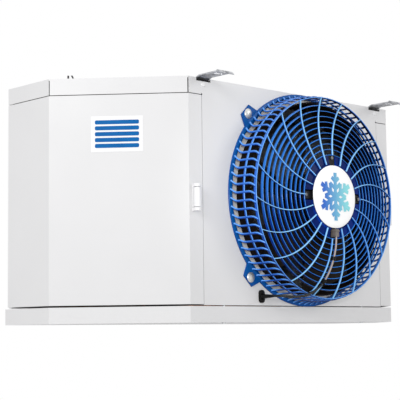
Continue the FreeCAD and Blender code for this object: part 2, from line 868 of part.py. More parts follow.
def fan_guard():
    ribs = guard_side_ribs
    flange_r = (flange_inner_r + flange_outer_r) / 2
    parts = [guard_ring(flange_r, guard_flange_width, 0, guard_flange_thick, ribs)]
    for quarter in range(4):
        parts.append(guard_ear(45.0 + 90.0 * quarter))
    middle = guard_mid_ring
    parts.append(guard_ring(guard_front_r + 4.5, guard_rib_depth, middle - 2.5, middle + 2.5, ribs))
    rim_width = guard_ring_width + 2.0
    rim_high = guard_depth + 3.0
    parts.append(guard_ring(guard_front_r, rim_width, rim_high - guard_rim_depth, rim_high, ribs))
    for r in ring_radii():
        high = dome_ahead(r) + guard_spoke_depth / 2 - 0.6
        low = high - guard_ring_depth
        if r == guard_inner_ring_r:
            low = arm_front
        parts.append(guard_ring(r, guard_ring_width, low, high, guard_spokes, spoke_sweep(r)))
    for spoke in range(guard_spokes):
        short = spoke % (guard_spokes // 4) == 0
        first = guard_inner_ring_r if short else guard_hub_r - 4.0
        parts.append(guard_spoke(360.0 * spoke / guard_spokes, first))
    for rib in range(ribs):
        parts.append(guard_side_rib(360.0 * rib / ribs))
    parts.append(guard_hub())
    guard = parts[0].multiFuse(parts[1:])
    for quarter in range(4):
        foot = front_point(ear_r, 45.0 + 90.0 * quarter, -1)
        guard = guard.cut(rod(screw_r + 0.3, guard_flange_thick + 2, foot, (0, -1, 0)))
    return guard.removeSplitter()


def guard_screws():
    screws = []
    for quarter in range(4):
        foot = front_point(ear_r, 45.0 + 90.0 * quarter, guard_flange_thick)
        place = (foot.x, foot.y, foot.z)
        washer = rod(washer_r, washer_thick, place, (0, -1, 0))
        head = rod(screw_head_r, screw_head, (foot.x, foot.y - washer_thick, foot.z), (0, -1, 0))
        shank = rod(screw_r, guard_flange_thick, (foot.x, foot.y + guard_flange_thick, foot.z), (0, -1, 0))
        screws.append(fused([washer, head, shank]))
    return Part.makeCompound(screws)


def motor_stator():
    """The still half of the motor, with the four arms that screw to the guard."""
    back = (fan_offset, front_y - stator_back, fan_z)
    body = rod(motor_r, arm_front - stator_back, back, (0, -1, 0))
    reach = guard_inner_ring_r + 4.0
    half = motor_arm_width / 2
    y0 = front_y - arm_front
    y1 = y0 + motor_arm_thick
    upright = box(fan_offset - half, fan_offset + half, y0, y1, fan_z - reach, fan_z + reach)
    across = box(fan_offset - reach, fan_offset + reach, y0, y1, fan_z - half, fan_z + half)
    stator = fused([body, upright, across])
    bore = rod(shaft_r + running_clearance, shaft_length + 2.0, back, (0, -1, 0))
    return stator.cut(bore)


def motor_rotor():
    """The turning can of the motor and its shaft."""
    front = (fan_offset, front_y - rotor_front, fan_z)
    can = rod(rotor_r, rotor_length, front, (0, 1, 0))
    shaft = rod(shaft_r, shaft_length, (fan_offset, front_y - rotor_front + 1.0, fan_z), (0, -1, 0))
    return can.fuse(shaft)


def blade_section(radius, chord, pitch, sweep):
    """A thin slanted slice of a blade, square to the radius."""
    turn = math.radians(sweep)
    out = FreeCAD.Vector(math.sin(turn), 0, math.cos(turn))
    around = FreeCAD.Vector(math.cos(turn), 0, -math.sin(turn))
    lean = math.radians(pitch)
    along = around * math.cos(lean) + FreeCAD.Vector(0, 1, 0) * math.sin(lean)
    thick = FreeCAD.Vector(0, 1, 0) * math.cos(lean) - around * math.sin(lean)
    middle = FreeCAD.Vector(fan_offset, wheel_middle(), fan_z) + out * radius
    half = chord / 2
    camber = thick * (chord * blade_camber)
    t = thick * (blade_thick / 2)
    corners = [middle - along * half - t, middle + camber - t, middle + along * half - t,
               middle + along * half + t, middle + camber + t, middle - along * half + t]
    return Part.makePolygon(corners + corners[:1])


def wheel_middle():
    return front_y + blade_setback


def fan_wheel():
    """Hub ring on the rotor can, with broad curved blades."""
    ring_r = rotor_r + wheel_ring
    ring_length = rotor_length - 8.0
    start = (fan_offset, front_y - rotor_front + 4.0, fan_z)
    ring = tube(ring_r, rotor_r + 0.1, ring_length, start, (0, 1, 0))
    tip_r = orifice_r - tip_gap
    blades = []
    for blade in range(blade_count):
        turn = 360.0 * blade / blade_count
        sections = []
        for share in (0.0, 0.5, 1.0):
            r = ring_r - 2.0 + (tip_r + 14.0 - ring_r) * share
            chord = blade_root_chord + (blade_tip_chord - blade_root_chord) * share
            pitch = blade_root_angle + (blade_tip_angle - blade_root_angle) * share
            sections.append(blade_section(r, chord, pitch, turn + blade_sweep * share ** 2))
        blades.append(lofted(sections))
    wheel = ring.multiFuse(blades)
    keep = tube(tip_r, rotor_r + 0.1, 2 * orifice_r, (fan_offset, front_y - orifice_r, fan_z), (0, 1, 0))
    return wheel.common(keep)


def hub_disc():
    """Slightly crowned round cover on the middle of the guard."""
    start = (fan_offset, front_y - hub_front, fan_z)
    plate = rod(disc_r, disc_thick, start, (0, -1, 0))
    crown = Part.makeCone(disc_r - 1.0, disc_r - disc_edge_land, disc_crown,
                          FreeCAD.Vector(fan_offset, front_y - hub_front - disc_thick, fan_z),
                          FreeCAD.Vector(0, -1, 0))
    return plate.fuse(crown)


def hub_screws():
    """One screw through the end of each motor arm into the guard's inner ring."""
    screws = []
    for quarter in range(4):
        place = front_point(guard_inner_ring_r - 7.0, 90.0 * quarter, arm_front)
        screws.append(rod(screw_head_r - 1.0, screw_head, (place.x, place.y, place.z), (0, -1, 0)))
    return Part.makeCompound(screws[:2] + screws[3:])


def motor_connector():
    high = fan_z - disc_r - 3.0
    half = connector_width / 2
    y0 = front_y - arm_front
    body = box(fan_offset - half, fan_offset + half, y0, y0 - connector_depth, high - connector_height, high)
    rib = box(fan_offset - half - 1.5, fan_offset + half + 1.5, y0, y0 - connector_depth - 1.5,
              high - 6.0, high - 3.0)
    return body.fuse(rib)


def motor_lead_points():
    """Route from the plug on the motor, down the lowest spoke, round to the gland.

    Each point is X from the fan's centre, distance ahead of the panel, and height from the centre.
    """
    route = [(0.0, 112.0, -107.0), (0.0, 112.0, -124.0), (-3.0, 109.2, -150.0), (-10.0, 105.2, -180.0),
             (-25.0, 100.2, -212.0), (-48.0, 94.7, -240.0), (-82.0, 90.5, -258.5), (-118.0, 88.0, -266.0),
             (-148.0, 84.0, -266.5), (-166.0, 75.0, -265.0), (-174.0, 61.0, -263.5), (-174.0, 46.0, -263.5)]
    return [FreeCAD.Vector(fan_offset + x, front_y - ahead, fan_z + z) for x, ahead, z in route]


def motor_lead():
    return swept(motor_lead_points(), lead_r)


def lead_clips():
    """Small collars that hold the lead on the front of the guard."""
    clips = []
    points = motor_lead_points()
    for index in (2, 4):
        start = points[index] * 0.5 + points[index + 1] * 0.5
        along = points[index + 1] - points[index]
        along.normalize()
        place = start - along * (clip_length / 2)
        ring = tube(lead_r + clip_wall, lead_r + 0.1, clip_length, (place.x, place.y, place.z),
                    (along.x, along.y, along.z))
        clips.append(ring)
    return Part.makeCompound(clips)


def lead_gland():
    """Screwed gland: threaded shank through the panel, round flange and tapered relief."""
    z = base_z + gland_up
    profile = [(0, -gland_thread), (gland_thread_r, -gland_thread), (gland_thread_r, 0), (gland_flange_r, 0),
               (gland_flange_r, gland_flange), (gland_body_r, gland_flange + 2),
               (gland_body_r - 1.0, gland_length / 2),
               (gland_tip_r, gland_length), (0, gland_length)]
    vectors = [FreeCAD.Vector(gland_x + r, front_y - along, z) for r, along in profile]
    face = Part.Face(Part.makePolygon(vectors + vectors[:1]))
    return face.revolve(FreeCAD.Vector(gland_x, front_y, z), FreeCAD.Vector(0, 1, 0), 360)


def front_left_hanger():
    """Folded steel strip: tail under the cabinet top, ramp, slotted plate and two hooked tips."""
    half = hanger_width / 2
    x0 = -hanger_x - half
    tail_end = front_y + hanger_tail
    ramp_start = front_y + hanger_ramp_back
    ramp_end = front_y - hanger_ramp
    tip = front_y - hanger_reach
    crest = tip + hanger_hump_length
    upper = [(tail_end, under_top), (ramp_start, under_top), (ramp_end, 0.0), (crest + hanger_hump, 0.0),
             (crest, hanger_hump), (crest - hanger_hump_length / 2, 0.0), (tip, -hanger_curl)]
    lower = [(tip + hanger_plate, -hanger_curl), (crest - hanger_hump_length / 2 + 1.0, -hanger_plate),
             (crest + hanger_hump, -hanger_plate), (ramp_end, -hanger_plate),
             (ramp_start, under_top - hanger_plate), (tail_end, under_top - hanger_plate)]
    vectors = [FreeCAD.Vector(x0, y, z) for y, z in upper + lower]
    face = Part.Face(Part.makePolygon(vectors + vectors[:1]))
    strip = face.extrude(FreeCAD.Vector(hanger_width, 0, 0))
    slot_y = front_y - hanger_slot_out
    reach = (hanger_slot_length - hanger_slot_width) / 2
    deep = 3 * hanger_plate
    cuts = [box(-hanger_x - reach, -hanger_x + reach, slot_y - hanger_slot_width / 2,
                slot_y + hanger_slot_width / 2, -deep, deep)]
    for side in (-1, 1):
        end = (-hanger_x + side * reach, slot_y, -deep)
        cuts.append(rod(hanger_slot_width / 2, 2 * deep, end, (0, 0, 1)))
    gap = hanger_tongue_gap / 2
    cuts.append(box(-hanger_x - gap, -hanger_x + gap, tip - 1, crest + hanger_hump, -2 * deep, 2 * deep))
    for cut in cuts:
        strip = strip.cut(cut)
    return strip


def top_tabs():
    """Two small upright tabs on the cabinet top, just behind the edge of the left chamfer."""
    length = math.hypot(chamfer_across, chamfer_back)
    along = FreeCAD.Vector(-chamfer_across / length, chamfer_back / length, 0)
    inward = FreeCAD.Vector(chamfer_back / length, chamfer_across / length, 0)
    edge = FreeCAD.Vector(-half_face, front_y, cab_top)
    tabs = []
    for place, lean in ((tab_along, 0.0), (tab_along - tab_pitch, tab_lean)):
        foot = edge + along * place + inward * tab_behind
        side = along * (tab_width / 2)
        back = inward * tab_thick
        corners = [foot - side, foot + side, foot + side + back, foot - side + back]
        low = Part.makePolygon(corners + corners[:1])
        high = low.copy()
        high.translate(FreeCAD.Vector(0, 0, tab_height) + along * lean)
        tabs.append(lofted([low, high]))
    return Part.makeCompound(tabs)


def panel_plugs():
    """Two domed plugs that cover the screws at the top corners of the fan panel."""
    plugs = []
    for side in (-1, 1):
        place = FreeCAD.Vector(side * (panel_half - plug_out), front_y, cab_top - plug_down)
        plugs.append(Part.makeCone(plug_r, plug_face_r, plug_height, place, FreeCAD.Vector(0, -1, 0)))
    return Part.makeCompound(plugs)


def left_door():
    """End face, chamfer and return strip in one folded sheet, with a fold along every edge."""
    wall = ring_wall(sheet, door_bottom, door_top)
    upper = ring_wall(door_flange, door_top - sheet, door_top)
    lower = ring_wall(door_flange, door_bottom, door_bottom + sheet)
    door = fused([wall, upper, lower])
    edge = -strip_edge - seam / 2
    door = door.common(box(-half_width - 1, edge, front_y - 1, rear_y + 1, door_bottom - 1, door_top + 1))
    rear_edge = -half_width + 2 * pivot_inset
    door = door.cut(box(rear_edge, 0, pivot_y - 2 * door_flange, rear_y + 1, door_bottom - 1, door_top + 1))
    lip = box(edge - sheet, edge, front_y, front_y + fold, door_bottom, door_top)
    door = door.fuse(lip)
    bore = rod(pivot_r, total_height, (-pivot_x, pivot_y, base_z), (0, 0, 1))
    return door.cut(bore).removeSplitter()


def left_door_pins():
    """Upper and lower pins that the door turns on, with their heads inside the door."""
    pins = []
    x, y = -pivot_x, pivot_y
    head = 2.0
    reach = sheet + pivot_lift + pivot_tab + 0.6
    top_head = rod(pivot_r + 1.5, head, (x, y, door_top - sheet), (0, 0, -1))
    top_pin = rod(pivot_r, reach, (x, y, door_top - sheet), (0, 0, 1))
    pins.append(top_head.fuse(top_pin))
    low_head = rod(pivot_r + 1.5, head, (x, y, door_bottom + sheet), (0, 0, 1))
    low_pin = rod(pivot_r, reach, (x, y, door_bottom + sheet), (0, 0, -1))
    pins.append(low_head.fuse(low_pin))
    return Part.makeCompound(pins)


def left_latch_base():
    """Latch plate on the door's return strip, with a round knuckle at each end."""
    low = base_z + latch_up
    high = low + latch_height
    half = latch_plate_half
    plate = box(-latch_x - half, -latch_x + half, front_y - latch_plate, front_y, low, high)
    shapes = [plate]
    for z in (low, high - latch_knuckle):
        shapes.append(rod(latch_r, latch_knuckle, (-latch_x, latch_y, z), (0, 0, 1)))
        shapes.append(box(-latch_x - half, -latch_x + half, latch_y, front_y, z, z + latch_knuckle))
    base = fused(shapes)
    return base.cut(rod(latch_pin_r, latch_height + 2, (-latch_x, latch_y, low - 1), (0, 0, 1)))


def left_latch_pin():
    low = base_z + latch_up + 1.0
    return rod(latch_pin_r, latch_height - 2.0, (-latch_x, latch_y, low), (0, 0, 1))


def left_latch_lever():
    """Turning barrel with a flat finger tongue that lies close to the door."""
    low = base_z + latch_up + latch_knuckle + latch_gap
    length = latch_height - 2 * latch_knuckle - 2 * latch_gap
    barrel = rod(latch_r, length, (-latch_x, latch_y, low), (0, 0, 1))
    y1 = front_y - latch_plate - 0.4
    tongue = box(-latch_x, -latch_x + latch_tongue, y1 - 2.6, y1, low + 6.0, low + length - 6.0)
    lever = barrel.fuse(tongue)
    bore = rod(latch_pin_r + running_clearance, length + 2, (-latch_x, latch_y, low - 1), (0, 0, 1))
    return lever.cut(bore).removeSplitter()


def label_plate():
    """Thin plate on the outer face of the left chamfer."""
    length = math.hypot(chamfer_across, chamfer_back)
    along = FreeCAD.Vector(-chamfer_across / length, chamfer_back / length, 0)
    outward = FreeCAD.Vector(-chamfer_back / length, -chamfer_across / length, 0)
    corner = FreeCAD.Vector(-half_face, front_y, base_z + label_up) + along * label_from_corner
    a = corner
    b = corner + along * label_width
    face = Part.Face(Part.makePolygon([a, b, b + outward * label_thick, a + outward * label_thick, a]))
    return face.extrude(FreeCAD.Vector(0, 0, label_height))


def drain_pan():
    """Folded tray with the cabinet's plan, a hem along its rim, and a drain hole at the rear."""
    outer = prism(outline(0, pan_rear_overhang), base_z, pan_top)
    inner = prism(outline(sheet, pan_rear_overhang), base_z + sheet, pan_top + 1)
    hem = prism(outline(0, pan_rear_overhang), pan_top - sheet, pan_top)
    hem = hem.cut(prism(outline(pan_hem, pan_rear_overhang), pan_top - sheet - 1, pan_top + 1))
    pan = fused([outer.cut(inner), hem])
    y0 = rear_y + pan_rear_overhang - 2 * sheet
    pan = pan.cut(rod(drain_bore_r, 3 * sheet, (drain_x, y0, drain_z()), (0, 1, 0)))
    for side in (-1, 1):
        for low in (base_z - 1, pan_top - 2 * sheet):
            place = (side * pan_bolt_x, front_y + pan_bolt_back, low)
            pan = pan.cut(rod(screw_r + bolt_hole_room, 3 * sheet, place, (0, 0, 1)))
    return pan


def drain_z():
    return base_z + sheet + drain_r + 1.0


def drain_fitting():
    """Threaded outlet at the rear of the pan, with a hexagon against the wall."""
    wall = rear_y + pan_rear_overhang
    pipe_end = rod(drain_r, drain_length, (drain_x, wall, drain_z()), (0, 1, 0))
    corners = []
    for step in range(6):
        angle = math.radians(30 + 60 * step)
        corners.append(FreeCAD.Vector(drain_x + drain_nut_r * math.cos(angle), wall,
                                      drain_z() + drain_nut_r * math.sin(angle)))
    nut = Part.Face(Part.makePolygon(corners + corners[:1])).extrude(FreeCAD.Vector(0, drain_nut, 0))
    nut = nut.common(box(drain_x - 40, drain_x + 40, wall, wall + drain_nut, base_z, pan_top))
    whole = pipe_end.fuse(nut)
    return whole.cut(rod(drain_bore_r, drain_length + 2, (drain_x, wall - 1, drain_z()), (0, 1, 0)))


def hinge_knuckle(x, length):
    return rod(hinge_knuckle_r, length, (x, hinge_y, hinge_z), (1, 0, 0))


def hinge_fixed_leaf(side):
    """Leaf on the rear panel, cranked out to the two outer knuckles."""
    middle = side * pan_hinge_x
    x0 = middle - hinge_width / 2
    x1 = middle + hinge_width / 2
    outer = (hinge_width - hinge_middle) / 2 - hinge_gap
    up = hinge_z + hinge_knuckle_r
    shelf = up + hinge_leaf
    leaf = box(x0, x1, rear_y, rear_y + hinge_leaf, up, up + hinge_fixed_height)
    arm = box(x0, x1, rear_y, hinge_y, up, shelf)
    shapes = [leaf, arm]
    for start in (x0, x1 - outer):
        shapes.append(hinge_knuckle(start, outer))
        shapes.append(box(start, start + outer, hinge_y - hinge_leaf, hinge_y, hinge_z, shelf))
    whole = fused(shapes)
    return whole.cut(rod(hinge_pin_r, hinge_width + 2, (x0 - 1, hinge_y, hinge_z), (1, 0, 0)))


def hinge_pan_leaf(side):
    """Leaf on the rear wall of the pan, with the middle knuckle."""
    middle = side * pan_hinge_x
    wall = rear_y + pan_rear_overhang
    half = hinge_middle / 2
    leaf = box(middle - hinge_width / 2, middle + hinge_width / 2, wall, wall + hinge_leaf,
               pan_top - hinge_pan_low, pan_top - hinge_pan_high)
    neck = box(middle - half, middle + half, wall, wall + hinge_leaf, pan_top - hinge_pan_low,
               hinge_z)
    bridge = box(middle - half, middle + half, wall, hinge_y, hinge_z - hinge_leaf - 2.0, hinge_z - 2.0)
    whole = fused([leaf, neck, bridge, hinge_knuckle(middle - half, hinge_middle)])
    start = (middle - hinge_width / 2, hinge_y, hinge_z)
    return whole.cut(rod(hinge_pin_r + running_clearance, hinge_width, start, (1, 0, 0)))


def hinge_pin(side):
    middle = side * pan_hinge_x
    return rod(hinge_pin_r, hinge_width, (middle - hinge_width / 2, hinge_y, hinge_z), (1, 0, 0))


def both_sides(make):
    return Part.makeCompound([make(-1), make(1)])


def pan_bolts():
    """Two long screws that hold the front of the pan up to the fan panel's lower fold."""
    bolts = []
    for side in (-1, 1):
        x = side * pan_bolt_x
        y = front_y + pan_bolt_back
        head = rod(screw_head_r, 2.5, (x, y, base_z), (0, 0, -1))
        shank = rod(screw_r, panel_bottom + 5.0 - base_z, (x, y, base_z), (0, 0, 1))
        bolts.append(head.fuse(shank))
    return Part.makeCompound(bolts)


def save(name, shape):
    solids = shape.Solids
    for solid in solids:
        if not solid.isValid():
            print("not valid:", name)
    if not solids:
        print("no solid:", name)
    print(name, len(solids), round(shape.Volume, 1))
    shape.exportStep("parts/" + name + ".step")


def main():
    os.makedirs("parts", exist_ok=True)
    save("cabinet_top", cabinet_top())
    save("fan_panel", fan_panel())
    save("fan_collar", fan_collar())
    save("left_tube_sheet", with_loop_notches(left_tube_sheet()))
    save("right_tube_sheet", right_tube_sheet())
    save("left_rear_panel", left_rear_panel())
    save("right_rear_panel", right_rear_panel())
    save("coil_fin_pack", coil_fin_pack())
    save("left_return_bends", left_return_bends())
    save("right_return_bends", right_return_bends())
    save("suction_header", suction_header())
    save("distributor", distributor())
    save("feeder_tubes", feeder_tubes())
    save("liquid_line", liquid_line())
    save("hot_gas_pan_loop", hot_gas_pan_loop())
    save("hot_gas_inlet_line", hot_gas_inlet_line())
    save("hot_gas_check_valve", check_valve())
    save("hot_gas_side_line", hot_gas_side_line())
    save("pipe_grommets", pipe_grommets())
    save("electrical_box", electrical_box())
    save("electrical_cover", electrical_cover())
    save("terminal_block", terminal_block())
    save("motor_lead_inside", motor_lead_inside())
    save("fan_guard", fan_guard())
    save("guard_screws", guard_screws())
    save("motor_stator", motor_stator())
    save("motor_rotor", motor_rotor())
    save("fan_wheel", fan_wheel())
    save("hub_disc", hub_disc())
    save("hub_screws", hub_screws())
    save("motor_connector", motor_connector())
    save("motor_lead", motor_lead())
    save("lead_clips", lead_clips())
    save("lead_gland", lead_gland())
    hanger = front_left_hanger()
    save("front_left_hanger", hanger)
    save("front_right_hanger", mirrored(hanger))
    save("rear_left_hanger", mirrored_in_depth(hanger))
    save("rear_right_hanger", mirrored(mirrored_in_depth(hanger)))
    save("top_tabs", top_tabs())
    save("panel_plugs", panel_plugs())
    for name, make in (("door", left_door), ("door_pins", left_door_pins), ("latch_base", left_latch_base),
                       ("latch_pin", left_latch_pin), ("latch_lever", left_latch_lever)):
        shape = make()
        save("left_" + name, shape)
        save("right_" + name, mirrored(shape))
    save("label_plate", label_plate())
    save("drain_pan", drain_pan())
    save("drain_fitting", drain_fitting())
    save("pan_hinge_fixed_leaves", both_sides(hinge_fixed_leaf))
    save("pan_hinge_pan_leaves", both_sides(hinge_pan_leaf))
    save("pan_hinge_pins", both_sides(hinge_pin))
    save("pan_bolts", pan_bolts())


main()
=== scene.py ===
import bmesh
import bpy
import math
from mathutils import Matrix, Vector


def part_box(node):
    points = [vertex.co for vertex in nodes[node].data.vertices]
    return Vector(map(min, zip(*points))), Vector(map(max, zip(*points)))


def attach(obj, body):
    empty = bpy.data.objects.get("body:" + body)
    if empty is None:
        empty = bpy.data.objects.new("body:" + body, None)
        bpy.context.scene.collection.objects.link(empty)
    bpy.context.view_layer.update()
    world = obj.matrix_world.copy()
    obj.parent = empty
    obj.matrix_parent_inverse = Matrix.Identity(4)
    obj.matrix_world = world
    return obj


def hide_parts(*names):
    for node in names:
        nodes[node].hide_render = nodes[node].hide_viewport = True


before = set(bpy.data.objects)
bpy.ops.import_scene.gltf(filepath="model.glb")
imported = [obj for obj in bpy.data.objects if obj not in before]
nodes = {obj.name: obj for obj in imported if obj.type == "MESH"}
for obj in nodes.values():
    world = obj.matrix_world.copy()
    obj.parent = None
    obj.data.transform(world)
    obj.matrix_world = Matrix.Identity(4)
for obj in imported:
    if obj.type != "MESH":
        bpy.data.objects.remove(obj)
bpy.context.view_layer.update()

# Camera. It stands ahead and to the left of the cooler, level with the underside of the drain pan,
# and looks slightly up at the chamfered corner.
camera_place = Vector((-2.5316, -2.5505, -0.6531))
camera_turn = math.radians(43.009)
camera_rise = math.radians(5.977)
camera_roll = math.radians(-0.688)
photo_width_px = 400
focal_px = 1274.8
forward = Vector((
    math.sin(camera_turn) * math.cos(camera_rise),
    math.cos(camera_turn) * math.cos(camera_rise),
    math.sin(camera_rise)))
level_right = Vector((math.cos(camera_turn), -math.sin(camera_turn), 0.0))
level_up = level_right.cross(forward)
right = level_right * math.cos(camera_roll) + level_up * math.sin(camera_roll)
up = level_up * math.cos(camera_roll) - level_right * math.sin(camera_roll)
lens = bpy.data.cameras.new("photo_camera")
lens.sensor_width = 36.0
lens.lens = focal_px / photo_width_px * lens.sensor_width
lens.clip_start = 0.05
lens.clip_end = 200.0
camera = bpy.data.objects.new("photo_camera", lens)
camera.matrix_world = Matrix((
    (right.x, up.x, -forward.x, camera_place.x),
    (right.y, up.y, -forward.y, camera_place.y),
    (right.z, up.z, -forward.z, camera_place.z),
    (0.0, 0.0, 0.0, 1.0)))
bpy.context.scene.collection.objects.link(camera)
bpy.context.scene.camera = camera
bpy.context.scene.view_settings.view_transform = "Standard"

# Studio. A pale floor well below the hanging cooler and an even white surround, which gloss mirrors too. A
# large soft lamp stands high on the left, a small one and a narrow spot ahead of the fan, and one on the
# right that draws the guard's edges.
world = bpy.data.worlds.new("white_surround")
bpy.context.scene.world = world
world.use_nodes = True
tree = world.node_tree
tree.nodes.clear()
soft = tree.nodes.new("ShaderNodeBackground")
soft.inputs["Color"].default_value = (0.98, 0.976, 0.982, 1)
soft.inputs["Strength"].default_value = 0.59
plain = tree.nodes.new("ShaderNodeBackground")
plain.inputs["Color"].default_value = (1, 1, 1, 1)
plain.inputs["Strength"].default_value = 1.0
rays = tree.nodes.new("ShaderNodeLightPath")
mixed = tree.nodes.new("ShaderNodeMixShader")
seen = tree.nodes.new("ShaderNodeMath")
seen.operation = "MAXIMUM"
tree.links.new(rays.outputs["Is Camera Ray"], seen.inputs[0])
tree.links.new(rays.outputs["Is Glossy Ray"], seen.inputs[1])
seen_or_through = tree.nodes.new("ShaderNodeMath")
seen_or_through.operation = "MAXIMUM"
tree.links.new(seen.outputs[0], seen_or_through.inputs[0])
tree.links.new(rays.outputs["Is Transmission Ray"], seen_or_through.inputs[1])
tree.links.new(seen_or_through.outputs[0], mixed.inputs[0])
tree.links.new(soft.outputs[0], mixed.inputs[1])
tree.links.new(plain.outputs[0], mixed.inputs[2])
out = tree.nodes.new("ShaderNodeOutputWorld")
tree.links.new(mixed.outputs[0], out.inputs["Surface"])

floor_radius = 9.0
floor_height = -1.75
floor_mesh = bmesh.new()
bmesh.ops.create_circle(floor_mesh, cap_ends=True, segments=64, radius=floor_radius,
                        matrix=Matrix.Translation((0.0, 0.0, floor_height)))
floor_data = bpy.data.meshes.new("floor")
floor_mesh.to_mesh(floor_data)
floor_mesh.free()
floor = bpy.data.objects.new("floor", floor_data)
bpy.context.scene.collection.objects.link(floor)
floor_paint = bpy.data.materials.new("pale_floor")
floor_paint.use_nodes = True
floor_shader = floor_paint.node_tree.nodes["Principled BSDF"]
floor_shader.inputs["Base Color"].default_value = (0.80, 0.80, 0.80, 1)
floor_shader.inputs["Roughness"].default_value = 0.9
floor_data.materials.append(floor_paint)


def aim(name, light, place, target):
    """Stands a lamp at a place and turns it to its target."""
    lamp = bpy.data.objects.new(name, light)
    way = Vector(target) - Vector(place)
    turn = way.to_track_quat("-Z", "Y").to_matrix().to_4x4()
    lamp.matrix_world = Matrix.Translation(place) @ turn
    bpy.context.scene.collection.objects.link(lamp)


def soft_lamp(name, place, target, size, power):
    """A round area lamp, with its size in metres and its power in watts."""
    light = bpy.data.lights.new(name, "AREA")
    light.shape = "DISK"
    light.size = size
    light.energy = power
    aim(name, light, place, target)


soft_lamp("key_lamp", (-4.3, -1.65, 1.35), (-0.3, 0.0, -0.3), 1.8, 73.0)
soft_lamp("front_lamp", (-1.9, -3.3, -0.2), (-0.1, -0.2, -0.3), 0.6, 12.0)
spot = bpy.data.lights.new("fan_spot", "SPOT")
spot.energy = 100.0
spot.spot_size = math.radians(11.5)
spot.spot_blend = 0.6
spot.shadow_soft_size = 0.12
aim("fan_spot", spot, (-2.3, -2.6, -0.2), (0.0, -0.22, -0.31))
soft_lamp("edge_lamp", (2.2, -3.0, 0.9), (0.05, -0.3, -0.3), 1.2, 17.0)


# Folded sheet cabinet. White powder coat on steel: top plate, fan panel, end doors, rear panels and
# drain pan. The coat has a fine orange peel and very slight clouding.
def new_material(name, colour, roughness, metallic=0.0):
    """A plain material, whose colour and roughness the functions below may vary."""
    material = bpy.data.materials.new(name)
    material.use_nodes = True
    shader = material.node_tree.nodes["Principled BSDF"]
    shader.inputs["Base Color"].default_value = (*colour, 1)
    shader.inputs["Roughness"].default_value = roughness
    shader.inputs["Metallic"].default_value = metallic
    return material


def noise(material, scale, detail=3.0, stretch=(1.0, 1.0, 1.0)):
    """Noise on the piece's own coordinates, in metres."""
    tree = material.node_tree
    place = tree.nodes.new("ShaderNodeTexCoord")
    mapping = tree.nodes.new("ShaderNodeMapping")
    mapping.inputs["Scale"].default_value = stretch
    tree.links.new(place.outputs["Object"], mapping.inputs["Vector"])
    texture = tree.nodes.new("ShaderNodeTexNoise")
    texture.inputs["Scale"].default_value = scale
    texture.inputs["Detail"].default_value = detail
    tree.links.new(mapping.outputs["Vector"], texture.inputs["Vector"])
    return texture.outputs["Fac"]


def tint(material, source, low, high, start=0.3, end=0.7):
    """Varies the base colour between two colours."""
    tree = material.node_tree
    ramp = tree.nodes.new("ShaderNodeValToRGB")
    ramp.color_ramp.elements[0].position = start
    ramp.color_ramp.elements[0].color = (*low, 1)
    ramp.color_ramp.elements[1].position = end
    ramp.color_ramp.elements[1].color = (*high, 1)
    tree.links.new(source, ramp.inputs["Fac"])
    tree.links.new(ramp.outputs["Color"], tree.nodes["Principled BSDF"].inputs["Base Color"])
    return ramp.color_ramp


def gloss(material, source, low, high):
    """Varies the roughness between two values."""
    tree = material.node_tree
    spread = tree.nodes.new("ShaderNodeMapRange")
    spread.inputs["To Min"].default_value = low
    spread.inputs["To Max"].default_value = high
    tree.links.new(source, spread.inputs["Value"])
    tree.links.new(spread.outputs["Result"], tree.nodes["Principled BSDF"].inputs["Roughness"])


def grain(material, source, strength, depth):
    """Raises the surface by the texture, by a depth in metres."""
    tree = material.node_tree
    bump = tree.nodes.new("ShaderNodeBump")
    bump.inputs["Strength"].default_value = strength
    bump.inputs["Distance"].default_value = depth
    tree.links.new(source, bump.inputs["Height"])
    tree.links.new(bump.outputs["Normal"], tree.nodes["Principled BSDF"].inputs["Normal"])


def dress(material, *names):
    """Gives CAD pieces their finish."""
    for name in names:
        data = nodes[name].data
        data.materials.clear()
        data.materials.append(material)


powder_coat = new_material("white_powder_coat", (0.80, 0.80, 0.805), 0.38)
tint(powder_coat, noise(powder_coat, 4.0), (0.785, 0.785, 0.79), (0.81, 0.81, 0.815))
gloss(powder_coat, noise(powder_coat, 18.0), 0.32, 0.44)
grain(powder_coat, noise(powder_coat, 900.0, 2.0), 0.12, 0.0002)
dress(powder_coat, "cabinet_top", "fan_panel", "left_rear_panel", "right_rear_panel", "left_door",
      "right_door", "drain_pan")


# Coil end sheets. Galvanised steel plates that hold the coil's tubes and close the fan's chamber. The zinc
# shows a frost-like spangle.
def zinc_sheet(name, low, high):
    """Galvanised sheet, with colour and gloss that differ from one spangle to the next."""
    material = new_material(name, low, 0.42, 0.85)
    tree = material.node_tree
    place = tree.nodes.new("ShaderNodeTexCoord")
    cells = tree.nodes.new("ShaderNodeTexVoronoi")
    cells.inputs["Scale"].default_value = 95.0
    tree.links.new(place.outputs["Object"], cells.inputs["Vector"])
    apart = tree.nodes.new("ShaderNodeSeparateColor")
    tree.links.new(cells.outputs["Color"], apart.inputs["Color"])
    tint(material, apart.outputs["Red"], low, high, 0.0, 1.0)
    gloss(material, apart.outputs["Green"], 0.34, 0.55)
    grain(material, noise(material, 420.0, 2.0), 0.06, 0.0002)
    return material


zinc = zinc_sheet("galvanised_sheet", (0.40, 0.42, 0.45), (0.56, 0.58, 0.61))
dress(zinc, "left_tube_sheet", "right_tube_sheet")


# Air collar. A rolled steel ring round the blade tips, set in the fan opening and painted matt black like
# the motor. A little rust-brown dust lies on it.
def shine(material, level):
    """Sets how strongly the surface mirrors."""
    material.node_tree.nodes["Principled BSDF"].inputs["Specular IOR Level"].default_value = level


collar_black = new_material("collar_black", (0.006, 0.006, 0.007), 0.7)
shine(collar_black, 0.03)
tint(collar_black, noise(collar_black, 14.0, 4.0), (0.004, 0.004, 0.005), (0.016, 0.011, 0.010))
grain(collar_black, noise(collar_black, 500.0, 2.0), 0.1, 0.0002)
dress(collar_black, "fan_collar")


